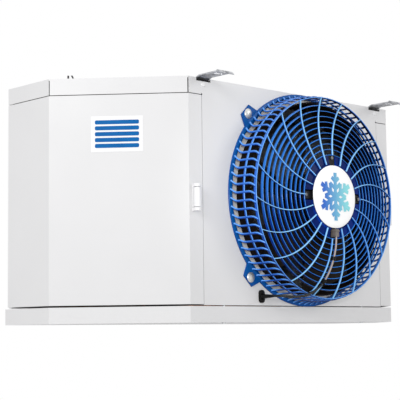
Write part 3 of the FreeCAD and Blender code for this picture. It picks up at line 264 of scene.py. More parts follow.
# Coil fins. Thin aluminium sheets four millimetres apart between the end sheets, pressed in shallow
# folds so that the air turns on its way through and nothing shows straight behind them.
def make_piece(name, mesh_work, material, body, stands_for, sharp_over=35.0, place=None):
    """Makes a visible piece of a finished bmesh, smooth but for edges sharper than an angle in degrees."""
    if place is not None:
        bmesh.ops.transform(mesh_work, matrix=place, verts=mesh_work.verts)
    bmesh.ops.remove_doubles(mesh_work, verts=mesh_work.verts, dist=1e-6)
    bmesh.ops.recalc_face_normals(mesh_work, faces=mesh_work.faces)
    data = bpy.data.meshes.new(name)
    mesh_work.to_mesh(data)
    mesh_work.free()
    for polygon in data.polygons:
        polygon.use_smooth = True
    data.set_sharp_from_angle(angle=math.radians(sharp_over))
    data.materials.append(material)
    piece = bpy.data.objects.new(name, data)
    bpy.context.scene.collection.objects.link(piece)
    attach(piece, body)
    if stands_for:
        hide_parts(*stands_for)


fin_low, fin_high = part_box("coil_fin_pack")
fin_pitch = 0.0042
fin_thick = 0.0005
fin_folds = 7
fin_wave = 0.00184
fin_middle = (fin_low + fin_high) / 2
fin_size = fin_high - fin_low
fin_count = int(fin_size.x / fin_pitch)
fin_step = fin_size.x / fin_count
fins = bmesh.new()
fin_place = Matrix.Translation((fin_low.x + fin_step / 2, fin_middle.y, fin_middle.z))
fin_form = Matrix.Diagonal((fin_thick, fin_size.y, fin_size.z, 1))
bmesh.ops.create_cube(fins, size=1.0, matrix=fin_place @ fin_form)
long_edges = [e for e in fins.edges if abs(e.verts[0].co.y - e.verts[1].co.y) > fin_size.y / 2]
bmesh.ops.subdivide_edges(fins, edges=long_edges, cuts=fin_folds - 1)
for corner in fins.verts:
    fold = round((corner.co.y - fin_low.y) / fin_size.y * fin_folds)
    corner.co.x += fin_wave * (-1) ** fold
first_fin = fins.verts[:] + fins.edges[:] + fins.faces[:]
for index in range(1, fin_count):
    next_fin = bmesh.ops.duplicate(fins, geom=first_fin)["geom"]
    corners = [part for part in next_fin if isinstance(part, bmesh.types.BMVert)]
    bmesh.ops.translate(fins, verts=corners, vec=(index * fin_step, 0.0, 0.0))
aluminium = new_material("fin_aluminium", (0.62, 0.63, 0.65), 0.34, 0.9)
tint(aluminium, noise(aluminium, 30.0), (0.50, 0.51, 0.53), (0.66, 0.67, 0.69))
gloss(aluminium, noise(aluminium, 60.0), 0.28, 0.45)
grain(aluminium, noise(aluminium, 300.0, 2.0, (1.0, 1.0, 0.1)), 0.15, 0.0003)
make_piece("coil_fins", fins, aluminium, "cabinet_body", ("coil_fin_pack",))

# Coil bends, header, feeders and hot gas lines. Drawn copper tube, brazed together, so that the metal is
# darkened in patches by the heat.
copper = new_material("drawn_copper", (0.62, 0.28, 0.17), 0.3, 1.0)
tint(copper, noise(copper, 22.0, 5.0), (0.42, 0.18, 0.11), (0.74, 0.38, 0.25), 0.35, 0.6)
gloss(copper, noise(copper, 45.0), 0.2, 0.42)
grain(copper, noise(copper, 350.0, 2.0), 0.05, 0.0002)
dress(copper, "left_return_bends", "right_return_bends", "suction_header", "feeder_tubes", "liquid_line",
      "hot_gas_pan_loop", "hot_gas_inlet_line", "hot_gas_side_line")

# Straight tubes of the coil. The same copper tube, pushed through the fins in three rows of twelve and
# widened against them. The bends join their ends outside the end sheets.
tube_radius = 0.0065
tube_rows = 3
tube_levels = 12
row_step = 0.036
level_step = fin_size.z / tube_levels
straight_tubes = bmesh.new()
laid_across = Matrix.Rotation(math.radians(90), 4, "Y")
for row in range(tube_rows):
    for level in range(tube_levels):
        tube_y = fin_middle.y + (row - (tube_rows - 1) / 2) * row_step
        tube_z = fin_middle.z + (level - (tube_levels - 1) / 2) * level_step
        tube_place = Matrix.Translation((fin_middle.x, tube_y, tube_z))
        bmesh.ops.create_cone(straight_tubes, cap_ends=True, segments=12, radius1=tube_radius,
                              radius2=tube_radius, depth=fin_size.x, matrix=tube_place @ laid_across)
make_piece("coil_tubes", straight_tubes, copper, "cabinet_body", ("coil_fin_pack",))

# Distributor and check valve. Both are turned from brass bar, with fine tool marks round them, and are
# brazed into the copper lines.
brass = new_material("turned_brass", (0.62, 0.45, 0.18), 0.28, 1.0)
tint(brass, noise(brass, 35.0), (0.52, 0.37, 0.14), (0.70, 0.53, 0.24))
grain(brass, noise(brass, 700.0, 1.0, (1.0, 0.2, 0.2)), 0.1, 0.0002)
dress(brass, "distributor", "hot_gas_check_valve")

# Grommets and inner lead. Soft black rubber rings sit round the pipes where they leave the rear panel. The
# motor's lead has a sheath of the same rubber inside the cabinet.
rubber = new_material("black_rubber", (0.018, 0.018, 0.019), 0.6)
tint(rubber, noise(rubber, 60.0), (0.012, 0.012, 0.013), (0.028, 0.028, 0.03))
grain(rubber, noise(rubber, 900.0, 2.0), 0.2, 0.0002)
dress(rubber, "pipe_grommets", "motor_lead_inside")

# Electrical box in the right end. A folded galvanised box with its cover, fixed to the coil's end sheet,
# and the grey plastic terminal block that the motor's lead is wired to.
box_zinc = zinc_sheet("box_zinc", (0.44, 0.46, 0.48), (0.60, 0.62, 0.64))
dress(box_zinc, "electrical_box", "electrical_cover")
terminal_plastic = new_material("terminal_plastic", (0.32, 0.31, 0.30), 0.5)
tint(terminal_plastic, noise(terminal_plastic, 50.0), (0.29, 0.28, 0.27), (0.35, 0.34, 0.33))
grain(terminal_plastic, noise(terminal_plastic, 1200.0, 2.0), 0.15, 0.0002)
dress(terminal_plastic, "terminal_block")

# Fan motor. The still half is cast with four arms that lie on the guard, and the can round it turns with
# the fan. Both are in semi-gloss black paint.
motor_paint = new_material("motor_black", (0.010, 0.010, 0.011), 0.42)
shine(motor_paint, 0.15)
tint(motor_paint, noise(motor_paint, 40.0), (0.007, 0.007, 0.008), (0.016, 0.016, 0.018))
gloss(motor_paint, noise(motor_paint, 70.0), 0.35, 0.55)
grain(motor_paint, noise(motor_paint, 500.0, 2.0), 0.1, 0.0003)
dress(motor_paint, "motor_stator", "motor_rotor")

# Fan wheel. Broad blades moulded with their hub in black plastic and pressed on the motor's can. Dust
# turns their faces a warm dark grey in places.
blade_plastic = new_material("blade_plastic", (0.012, 0.011, 0.011), 0.5)
shine(blade_plastic, 0.05)
tint(blade_plastic, noise(blade_plastic, 9.0, 4.0), (0.006, 0.006, 0.006), (0.030, 0.024, 0.020))
gloss(blade_plastic, noise(blade_plastic, 25.0), 0.42, 0.62)
grain(blade_plastic, noise(blade_plastic, 600.0, 2.0), 0.1, 0.0002)
dress(blade_plastic, "fan_wheel")

# Rings of the fan guard. The guard is one deep moulding in glossy blue plastic. Its domed front has ten
# rings, thin to look at and deep from front to back, so that they stay stiff in the air.
fan_middle = Vector((0.031, -0.219, -0.2955))
fan_place = Matrix.Translation(fan_middle) @ Matrix.Rotation(math.pi / 2, 4, "X")
front_rim = 0.270
rim_ahead = 0.081
dome_rise = 0.028
inner_ring = 0.112
ring_count = 10
ring_gap = (front_rim - inner_ring) / (ring_count + 0.5)
ring_width = 0.0020
inner_depth = 0.0048
added_depth = 0.0022
outward_lean = 0.0014


def dome(radius):
    """How far ahead of the panel the front of the guard stands at a radius."""
    return rim_ahead + dome_rise * (1.0 - (radius / front_rim) ** 2)


def blade_outline(radius, front, width, depth, lean=0.0):
    """Section of a thin ring: deep behind, leaning out there, with a rounded front edge."""
    half = width / 2
    soft = width * 0.3
    return [(radius - half + lean, front - depth), (radius + half + lean, front - depth),
            (radius + half, front - soft), (radius + half - soft, front), (radius - half + soft, front),
            (radius - half, front - soft)]


def turn_profile(mesh_work, profile, steps, closed=False):
    """Spins pairs of radius and height round the upright axis, as a ring's section or from pole to pole."""
    corners = [mesh_work.verts.new((0.0, radius, ahead)) for radius, ahead in profile]
    following = corners[1:] + corners[:1] if closed else corners[1:]
    edges = [mesh_work.edges.new(pair) for pair in zip(corners, following)]
    bmesh.ops.spin(mesh_work, geom=corners + edges, cent=(0, 0, 0), axis=(0, 0, 1), dvec=(0, 0, 0),
                   angle=2 * math.pi, steps=steps, space=Matrix(), use_merge=True)


def blue_moulding_with_painted_light(name, painted_shade_blue, painted_lit_side_blue, painted_highlight_blue):
    """Glossy blue plastic with painted light: a painted shade on faces that look down or back, a painted
    lit side between, and the palest painted highlight on faces that look ahead, left and up.
    """
    material = new_material(name, painted_lit_side_blue, 0.22)
    shine(material, 0.12)
    tree = material.node_tree
    place = tree.nodes.new("ShaderNodeTexCoord")
    painted_light_facing = tree.nodes.new("ShaderNodeVectorMath")
    painted_light_facing.operation = "DOT_PRODUCT"
    # This direction stands for a lamp ahead, to the left and above, so the colour paints highlight and
    # shade by how each face turns to it.
    painted_light_facing.inputs[1].default_value = (-0.45, -0.75, 0.34)
    tree.links.new(place.outputs["Normal"], painted_light_facing.inputs[0])
    painted_light_blues = tint(material, painted_light_facing.outputs["Value"], painted_shade_blue, painted_highlight_blue, 0.05, 0.80)
    painted_light_blues.elements.new(0.45).color = (*painted_lit_side_blue, 1)
    gloss(material, noise(material, 60.0), 0.16, 0.28)
    grain(material, noise(material, 900.0, 2.0), 0.05, 0.0002)
    return material


rings = bmesh.new()
for index in range(ring_count):
    radius = inner_ring + ring_gap * index
    share = (radius - inner_ring) / (front_rim - inner_ring)
    section = blade_outline(radius, dome(radius), ring_width, inner_depth + added_depth * share,
                            outward_lean * share)
    turn_profile(rings, section, 120, closed=True)
# The rings' blues: painted shade on faces turned away, a painted lit side and a pale painted highlight on
# the front edges.
ring_blue = blue_moulding_with_painted_light("ring_blue_painted_light", (0.0003, 0.004, 0.04), (0.001, 0.036, 0.28),
                          (0.05, 0.29, 0.90))
make_piece("fan_guard_rings", rings, ring_blue, "cabinet_body", ("fan_guard",), 30.0,
           fan_place)

# Side of the fan guard. Eighty S-shaped ribs run from curved feet on the flange to the front rim, tied by
# that rim and by a ring halfway up, each given by its radius, front, width and depth. All are moulded in
# one with the rings, in the same plastic.
rib_count = 80
rib_width = 0.0062
rib_depth = 0.0042
middle_tie = (front_rim + 0.0055, 0.0471, 0.0034, 0.0052)
front_tie = (front_rim, rim_ahead + 0.003, 0.0027, 0.0085)
foot = [(0.2840, 0.0030, 0.0, 0.0105), (0.2815, 0.0062, 0.0, 0.0085), (0.2790, 0.0100, 0.0, 0.0045),
        (0.2772, 0.0160, 0.0, 0.0012), (0.2763, 0.0240, 0.0, 0.0)]
shaft = [(0.2757, 0.0420, 0.0, 0.0), (0.2745, 0.0620, 0.0, 0.0)]
head = [(0.2732, 0.0690, 0.0, -0.0015), (0.2718, 0.0750, 0.0, -0.0050), (0.2706, 0.0810, 0.0, -0.0090)]


def bar_along(stations, width, tall, copies, first_turn=0.0):
    """Lays a bevelled bar through stations of radius, height ahead, turn and sideways shift."""
    bar = bmesh.new()
    bmesh.ops.create_cube(bar, size=1.0)
    long_edges = [e for e in bar.edges if abs(e.verts[0].co.x - e.verts[1].co.x) > 0.5]
    bmesh.ops.bevel(bar, geom=long_edges, offset=0.30, segments=1, profile=0.5, affect="EDGES", material=-1)
    long_edges = [e for e in bar.edges if abs(e.verts[0].co.x - e.verts[1].co.x) > 0.5]
    bmesh.ops.subdivide_edges(bar, edges=long_edges, cuts=len(stations) - 2, use_grid_fill=True)
    for corner in bar.verts:
        at = int(round((corner.co.x + 0.5) * (len(stations) - 1)))
        radius, ahead, turn, shift = stations[at]
        before = stations[max(0, at - 1)]
        after = stations[min(len(stations) - 1, at + 1)]
        way = Vector((after[0] - before[0], after[1] - before[1])).normalized()
        lift = corner.co.z * tall
        far = radius - way.y * lift
        angle = turn + first_turn + (shift + corner.co.y * width) / radius
        corner.co = Vector((far * math.sin(angle), far * math.cos(angle), ahead + way.x * lift))
    if copies > 1:
        bmesh.ops.spin(bar, geom=bar.verts[:] + bar.edges[:] + bar.faces[:], cent=(0, 0, 0), axis=(0, 0, 1),
                       dvec=(0, 0, 0), angle=2 * math.pi * (copies - 1) / copies, steps=copies - 1,
                       space=Matrix(), use_duplicate=True)
    return bar


def join(mesh_work, other):
    """Adds a second bmesh to the first and frees it."""
    data = bpy.data.meshes.new("joined")
    other.to_mesh(data)
    other.free()
    mesh_work.from_mesh(data)
    bpy.data.meshes.remove(data)


ribs = bmesh.new()
for tie in (middle_tie, front_tie):
    turn_profile(ribs, blade_outline(*tie), 160, closed=True)
join(ribs, bar_along(foot + shaft + head, rib_width, rib_depth, rib_count))
# The ribs' blues: painted shade on their undersides, a painted lit blue on their outer faces and a painted
# highlight on their fronts.
rib_blue = blue_moulding_with_painted_light("rib_blue_painted_light", (0.0004, 0.007, 0.06), (0.012, 0.10, 0.54),
                         (0.15, 0.42, 0.96))
make_piece("fan_guard_ribs", ribs, rib_blue, "cabinet_body", ("fan_guard",), 30.0,
           fan_place)

# Spokes of the fan guard. Twenty sweep clockwise from the hub to the rim, just proud of the rings, and four
# of them start at the motor's arms. The lowest is a channel of two thin walls for the motor's lead.
spoke_count = 20
spoke_width = 0.0035
spoke_depth = 0.0056
spoke_proud = 0.0006
spoke_steps = 12
spoke_sweep = math.radians(15.0)
sweep_growth = 1.6
spoke_root = 0.088
arm_every = 5
channel_half = 0.0075
channel_wall = 0.0024


def spoke_turn(radius):
    """How far a spoke has swept round, in radians, at a radius."""
    share = max(0.0, (radius - inner_ring) / (front_rim - inner_ring))
    return spoke_sweep * share ** sweep_growth


def spoke(start, width, shift, first_turn):
    """One swept bar from a radius out to the rim, shifted sideways."""
    reach = [start + (front_rim - start) * step / spoke_steps for step in range(spoke_steps + 1)]
    stations = [(r, dome(r) + spoke_proud, spoke_turn(r), shift) for r in reach]
    return bar_along(stations, width, spoke_depth, 1, first_turn)


spokes = bmesh.new()
for index in range(spoke_count):
    if index == spoke_count // 2:
        continue
    start = inner_ring if index % arm_every == 0 else spoke_root
    join(spokes, spoke(start, spoke_width, 0.0, 2 * math.pi * index / spoke_count))
for side in (-1, 1):
    join(spokes, spoke(inner_ring, channel_wall, side * channel_half, math.pi))
# The spokes' blues: painted shade on their backs, a painted lit side and a pale painted highlight on their
# fronts.
spoke_blue = blue_moulding_with_painted_light("spoke_blue_painted_highlight", (0.001, 0.024, 0.22), (0.07, 0.30, 0.94),
                           (0.32, 0.68, 1.0))
make_piece("fan_guard_spokes", spokes, spoke_blue, "cabinet_body", ("fan_guard",), 30.0,
           fan_place)

# Flange of the fan guard. A flat ring on the panel, with a raised lip inside where the ribs' feet start. At
# each corner an ear narrows outwards to a straight end and takes a screw.
flange_inner = 0.277
flange_outer = 0.289
flange_thick = 0.004
ear_hole = 0.3035
ear_end = ear_hole + 0.0145
ear_outline = [(-0.039, 0.272), (-0.020, ear_end), (0.020, ear_end), (0.039, 0.272)]
flange_section = [(flange_inner, 0.0), (flange_outer, 0.0), (flange_outer, flange_thick - 0.0012),
                  (flange_outer - 0.0014, flange_thick), (flange_inner + 0.003, flange_thick + 0.0012),
                  (flange_inner, flange_thick)]
flange = bmesh.new()
turn_profile(flange, flange_section, 160, closed=True)
for turn in range(4):
    ear = bmesh.new()
    plate = ear.faces.new([ear.verts.new((x, y, 0.0)) for x, y in ear_outline])
    grown = bmesh.ops.extrude_face_region(ear, geom=[plate])
    top = [v for v in grown["geom"] if isinstance(v, bmesh.types.BMVert)]
    bmesh.ops.translate(ear, verts=top, vec=(0, 0, flange_thick - 0.0002))
    rim = [e for e in ear.edges if all(v in top for v in e.verts)]
    bmesh.ops.bevel(ear, geom=rim, offset=0.0009, segments=2, profile=0.5, affect="EDGES", material=-1)
    ear_turn = Matrix.Rotation(math.pi / 4 + turn * math.pi / 2, 3, "Z")
    bmesh.ops.rotate(ear, verts=ear.verts, cent=(0, 0, 0), matrix=ear_turn)
    join(flange, ear)
# The flange's blues: deep blue, with painted shade on faces turned away and a slightly lighter painted lit
# side.
flange_blue = blue_moulding_with_painted_light("flange_deep_blue_painted_light", (0.0005, 0.020, 0.14), (0.001, 0.060, 0.30),
                            (0.001, 0.090, 0.35))
make_piece("fan_guard_flange", flange, flange_blue, "cabinet_body", ("fan_guard",), 30.0,
           fan_place)

# Hub of the fan guard. A flat plate under the cover disc, moulded with the spokes. It is cut away where
# each arm of the motor lies, which leaves four quarters.
hub_front = 0.108
hub_back = hub_front - 0.008
hub_hollow = 0.070
hub_edge = 0.1105
gap_half = 0.0135
gap_from = 0.06
hub_section = [(hub_hollow, hub_back), (hub_edge, hub_back), (hub_edge, hub_front - 0.0062),
               (0.0900, hub_front - 0.0040), (0.0868, hub_front), (hub_hollow, hub_front)]
hub = bmesh.new()
turn_profile(hub, hub_section, 80, closed=True)
for turn in range(4):
    along = Vector((math.sin(turn * math.pi / 2), math.cos(turn * math.pi / 2), 0.0))
    across = Vector((along.y, -along.x, 0.0))
    for side in (-1, 1):
        bmesh.ops.bisect_plane(hub, geom=hub.verts[:] + hub.edges[:] + hub.faces[:],
                               plane_co=across * side * gap_half, plane_no=across, dist=1e-7)
for face in list(hub.faces):
    middle = face.calc_center_median()
    if min(abs(middle.x), abs(middle.y)) < gap_half and max(abs(middle.x), abs(middle.y)) > gap_from:
        hub.faces.remove(face)
bmesh.ops.holes_fill(hub, edges=[e for e in hub.edges if e.is_boundary], sides=0)
# The hub's blues: near black on its front and underside, with a painted lit royal blue on its sloping sides
# that face left.
hub_blue = blue_moulding_with_painted_light("hub_near_black_painted_light", (0.0002, 0.002, 0.02), (0.001, 0.040, 0.38),
                         (0.0003, 0.010, 0.09))
shine(hub_blue, 0.05)
make_piece("fan_guard_hub", hub, hub_blue, "cabinet_body", ("fan_guard",), 30.0, fan_place)

# Guard screws. Each ear is held by a domed zinc washer as wide as a thumb, with the screw's small
# recess in its middle.
zinc_plate = new_material("bright_zinc", (0.70, 0.70, 0.68), 0.26, 0.75)
tint(zinc_plate, noise(zinc_plate, 120.0), (0.60, 0.61, 0.59), (0.78, 0.78, 0.76))
gloss(zinc_plate, noise(zinc_plate, 200.0), 0.24, 0.38)
washer = [(0.0, 0.0062), (0.0020, 0.0062), (0.0026, 0.0084), (0.0062, 0.0080), (0.0098, 0.0068),
          (0.0126, 0.0054), (0.0136, 0.0044), (0.0134, 0.0040), (0.0, 0.0040)]
screws = bmesh.new()
for turn in range(4):
    angle = math.pi / 4 + turn * math.pi / 2
    screw = bmesh.new()
    turn_profile(screw, washer, 40)
    centre = Vector((math.sin(angle) * ear_hole, math.cos(angle) * ear_hole, 0.0))
    bmesh.ops.translate(screw, verts=screw.verts, vec=centre)
    join(screws, screw)
make_piece("guard_washers_and_screws", screws, zinc_plate, "cabinet_body", ("guard_screws",),
           50.0, fan_place)

# Cover disc on the guard's hub. A white moulded disc, slightly crowned, with a rolled edge, that snaps on
# the hub's plate and hides the motor's middle.
disc_radius = 0.084
disc_crown = hub_front + 0.0046
disc_section = [(0.0, disc_crown), (0.030, disc_crown - 0.0001), (0.062, disc_crown - 0.0003),
                (0.074, hub_front + 0.0037), (0.0805, hub_front + 0.0028), (0.0834, hub_front + 0.0016),
                (disc_radius, hub_front + 0.0004), (0.0832, hub_front), (0.0, hub_front)]
disc = bmesh.new()
turn_profile(disc, disc_section, 96)
disc_white = new_material("disc_white_plastic", (0.98, 0.98, 0.98), 0.26)
tint(disc_white, noise(disc_white, 12.0), (0.97, 0.97, 0.97), (0.99, 0.99, 0.99))
grain(disc_white, noise(disc_white, 700.0, 2.0), 0.05, 0.0002)
make_piece("cover_disc", disc, disc_white, "cabinet_body", ("hub_disc",), 40.0, fan_place)

# Emblem on the disc. A plain six-armed snow crystal, printed thick in ink that runs from blue on one side
# to teal on the other. Each bar lies a hair higher than the last, so that no two faces share a plane.
flake_thick = 0.0003
flake_step = 0.00003
arm_length = 0.064
arm_width = 0.0125
twig_width = arm_width * 0.8
twig_lean = math.radians(52)
twigs = [(0.020, 0.026), (0.040, 0.018)]
flake = bmesh.new()
layer = 0
for arm in range(6):
    spin_arm = Matrix.Rotation(arm * math.pi / 3, 4, "Z")
    bars = [(Matrix.Translation((0.0, arm_length / 2, 0.0)), arm_width, arm_length)]
    for start, length in twigs:
        for side in (-1, 1):
            lean = Matrix.Translation((0.0, start, 0.0)) @ Matrix.Rotation(side * twig_lean, 4, "Z")
            bars.append((lean @ Matrix.Translation((0.0, length / 2, 0.0)), twig_width, length))
    for lie, width, length in bars:
        lift = Matrix.Translation((0.0, 0.0, disc_crown + flake_thick / 2 + layer * flake_step))
        size = Matrix.Diagonal((width, length, flake_thick, 1))
        bmesh.ops.create_cube(flake, size=1.0, matrix=lift @ spin_arm @ lie @ size)
        layer += 1
flake_ink = new_material("flake_blue_to_teal", (0.0, 0.20, 0.50), 0.3)
tree = flake_ink.node_tree
place = tree.nodes.new("ShaderNodeTexCoord")
apart = tree.nodes.new("ShaderNodeSeparateXYZ")
tree.links.new(place.outputs["Object"], apart.inputs["Vector"])
spread = tree.nodes.new("ShaderNodeMapRange")
spread.inputs["From Min"].default_value = fan_middle.x - arm_length
spread.inputs["From Max"].default_value = fan_middle.x + arm_length
tree.links.new(apart.outputs["X"], spread.inputs["Value"])
tint(flake_ink, spread.outputs["Result"], (0.0, 0.11, 0.55), (0.24, 0.68, 0.72), 0.15, 0.85)
make_piece("disc_emblem", flake, flake_ink, "cabinet_body", (), place=fan_place)

# Hub screws. Pan heads in dull zinc at the ends of the motor's arms. They hold the motor to the guard's
# innermost ring.
dull_zinc = new_material("dull_zinc", (0.16, 0.16, 0.17), 0.45, 1.0)
tint(dull_zinc, noise(dull_zinc, 120.0), (0.12, 0.12, 0.13), (0.22, 0.22, 0.23))
gloss(dull_zinc, noise(dull_zinc, 200.0), 0.4, 0.55)
dress(dull_zinc, "hub_screws")

# Motor plug. A moulded housing in warm grey plastic that hangs from the hub. The end of the lead is pushed
# into it from below.
plug_grey = new_material("warm_grey_plastic", (0.13, 0.11, 0.10), 0.45)
tint(plug_grey, noise(plug_grey, 80.0), (0.10, 0.085, 0.075), (0.18, 0.155, 0.14))
grain(plug_grey, noise(plug_grey, 900.0, 2.0), 0.1, 0.0002)
dress(plug_grey, "motor_connector")

# Motor lead. A slim beige lead, clipped in the guard's channel, that runs on in a black ribbed sleeve
# along the guard's lower left side to the gland.
lead_route = [(0.0, 0.112, -0.107), (0.0, 0.112, -0.124), (-0.003, 0.1092, -0.150),
              (-0.010, 0.1052, -0.180), (-0.025, 0.1002, -0.212), (-0.048, 0.0947, -0.240),
              (-0.082, 0.0905, -0.2585), (-0.118, 0.088, -0.266), (-0.148, 0.084, -0.2665),
              (-0.166, 0.075, -0.265), (-0.174, 0.061, -0.2635), (-0.174, 0.046, -0.2635)]
lead_radius = 0.0024
sleeve_radius = 0.0029
sleeve_from = 0.165
sleeve_pitch = 0.0042
rib_rise = 0.0005
beige_above = -0.518
fade = 0.004
route = bpy.data.curves.new("lead_route", "CURVE")
route.dimensions = "3D"
route.resolution_u = 10
spline = route.splines.new("NURBS")
spline.points.add(len(lead_route) - 1)
for point, (x, ahead, z) in zip(spline.points, lead_route):
    point.co = (fan_middle.x + x, fan_middle.y - ahead, fan_middle.z + z, 1.0)
spline.order_u = 3
spline.use_endpoint_u = True
line_object = bpy.data.objects.new("lead_route", route)
bpy.context.scene.collection.objects.link(line_object)
line = bpy.data.meshes.new_from_object(line_object)
trail = [vertex.co.copy() for vertex in line.vertices]
route.bevel_depth = lead_radius
route.bevel_resolution = 3
route.use_fill_caps = True
bpy.context.view_layer.update()
tube = bpy.data.meshes.new_from_object(line_object.evaluated_get(bpy.context.evaluated_depsgraph_get()))
bpy.data.objects.remove(line_object)
lead_work = bmesh.new()
lead_work.from_mesh(tube)
gone = 0.0
next_rib = sleeve_from
for here, there in zip(trail, trail[1:]):
    step = (there - here).length
    while gone + step >= next_rib:
        middle = here.lerp(there, (next_rib - gone) / step)
        turn = (there - here).to_track_quat("Z", "X").to_matrix().to_4x4()
        for radius, length in ((sleeve_radius, sleeve_pitch), (sleeve_radius + rib_rise, sleeve_pitch / 2)):
            bmesh.ops.create_cone(lead_work, cap_ends=True, segments=14, radius1=radius, radius2=radius,
                                  depth=length, matrix=Matrix.Translation(middle) @ turn)
        next_rib += sleeve_pitch
    gone += step
lead_skin = new_material("lead_beige_and_black", (0.02, 0.02, 0.02), 0.35)
tree = lead_skin.node_tree
place = tree.nodes.new("ShaderNodeTexCoord")
height = tree.nodes.new("ShaderNodeSeparateXYZ")
tree.links.new(place.outputs["Object"], height.inputs["Vector"])
spread = tree.nodes.new("ShaderNodeMapRange")
spread.inputs["From Min"].default_value = beige_above - fade
spread.inputs["From Max"].default_value = beige_above
tree.links.new(height.outputs["Z"], spread.inputs["Value"])
tint(lead_skin, spread.outputs["Result"], (0.006, 0.006, 0.005), (0.38, 0.32, 0.30), 0.0, 1.0)
gloss(lead_skin, noise(lead_skin, 90.0), 0.25, 0.42)
grain(lead_skin, noise(lead_skin, 700.0, 2.0), 0.1, 0.0002)
make_piece("motor_lead_and_sleeve", lead_work, lead_skin, "cabinet_body", ("motor_lead",),
           50.0)

# Clips of the lead. Two small collars in satin black plastic, with faint moulding marks, that hold the
# lead on the front of the guard.
black_plastic = new_material("satin_black_plastic", (0.003, 0.003, 0.003), 0.35)
shine(black_plastic, 0.15)
tint(black_plastic, noise(black_plastic, 50.0), (0.002, 0.002, 0.002), (0.006, 0.006, 0.006))
gloss(black_plastic, noise(black_plastic, 80.0), 0.25, 0.4)
grain(black_plastic, noise(black_plastic, 500.0, 2.0), 0.1, 0.0002)
dress(black_plastic, "lead_clips")

# Gland of the lead: an upright oblong flange held by two screws, a threaded shank behind the panel and
# a tapered nose that grips the sleeve. All in the same black plastic.
gland_low, gland_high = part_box("lead_gland")
gland_middle = (gland_low + gland_high) / 2
half_tall = (gland_high.z - gland_low.z) / 2
half_wide = 0.0095
gland_thick = 0.0055
screw_apart = 0.0108
screw_radius = 0.0046
screw_rise = 0.0024
nose_end = fan_middle.y - gland_low.y
shank_end = fan_middle.y - gland_high.y
gland_face = Matrix.Translation((gland_middle.x, fan_middle.y, gland_middle.z))
gland_place = gland_face @ Matrix.Rotation(math.pi / 2, 4, "X")
gland_section = [(0.0, shank_end), (0.0092, shank_end), (0.0092, 0.001), (0.0072, 0.001),
                 (0.0072, gland_thick + 0.001), (0.0058, 0.012), (0.0050, 0.024), (0.0042, 0.036),
                 (0.0036, nose_end), (0.0, nose_end)]
gland = bmesh.new()
plate = bmesh.new()
plate_form = Matrix.Diagonal((2 * half_wide, 2 * half_tall, gland_thick, 1))
bmesh.ops.create_cube(plate, size=1.0, matrix=Matrix.Translation((0, 0, gland_thick / 2)) @ plate_form)
uprights = [e for e in plate.edges if abs(e.verts[0].co.z - e.verts[1].co.z) > 0.001]
bmesh.ops.bevel(plate, geom=uprights, offset=half_wide * 0.92, segments=8, profile=0.5, affect="EDGES",
                material=-1)
rim = [e for e in plate.edges if all(v.co.z > gland_thick * 0.9 for v in e.verts)]
bmesh.ops.bevel(plate, geom=rim, offset=0.0012, segments=2, profile=0.5, affect="EDGES", material=-1)
join(gland, plate)
screw_form = Matrix.Diagonal((screw_radius, screw_radius, screw_rise, 1))
for side in (-1, 1):
    screw_place = Matrix.Translation((0, side * screw_apart, gland_thick))
    bmesh.ops.create_uvsphere(gland, u_segments=20, v_segments=10, radius=1.0,
                              matrix=screw_place @ screw_form)
turn_profile(gland, gland_section, 28)
make_piece("lead_gland_and_flange", gland, black_plastic, "cabinet_body", ("lead_gland",),
           40.0, gland_place)

# Hangers. Stout galvanised strips, ramped up from the cabinet top to the slotted plate that the
# ceiling rods pass through.
hanger_zinc = zinc_sheet("hanger_zinc", (0.34, 0.345, 0.36), (0.62, 0.63, 0.66))
dress(hanger_zinc, "front_left_hanger", "front_right_hanger", "rear_left_hanger", "rear_right_hanger")

# Tabs on the top behind the left chamfer. Two small upright lugs, folded from steel that has weathered
# dark.
lug_steel = new_material("lug_dark_steel", (0.035, 0.035, 0.037), 0.6)
tint(lug_steel, noise(lug_steel, 120.0), (0.02, 0.02, 0.022), (0.06, 0.06, 0.063))
grain(lug_steel, noise(lug_steel, 400.0, 2.0), 0.1, 0.0002)
dress(lug_steel, "top_tabs")

# Ribs of the hangers. Each is pressed into the underside of its strip, between the ramp and the slot, and
# stiffens it there.
rib_form = (0.008, 0.026, 0.0016)
rib_edge = 0.0013
hanger_out = 0.340
hanger_ahead = 0.2455
hanger_under = -0.0030
pressed = bmesh.new()
for side in (-1, 1):
    for end in (-1, 1):
        rib = bmesh.new()
        bmesh.ops.create_cube(rib, size=1.0, matrix=Matrix.Diagonal((*rib_form, 1)))
        low_edges = [e for e in rib.edges if all(v.co.z < 0 for v in e.verts)]
        bmesh.ops.bevel(rib, geom=low_edges, offset=rib_edge, segments=3, profile=0.5, affect="EDGES",
                        material=-1)
        rib_place = (side * hanger_out, end * hanger_ahead, hanger_under - rib_form[2] / 2)
        bmesh.ops.translate(rib, verts=rib.verts, vec=rib_place)
        join(pressed, rib)
make_piece("hanger_ribs", pressed, hanger_zinc, "cabinet_body", (), 50.0)

# Plugs in the fan panel's upper corners. Small domes in bright white plastic, pushed over the heads of the
# screws there.
plug_white = new_material("plug_white_plastic", (0.90, 0.90, 0.91), 0.3)
tint(plug_white, noise(plug_white, 60.0), (0.88, 0.88, 0.89), (0.92, 0.92, 0.93))
dress(plug_white, "panel_plugs")

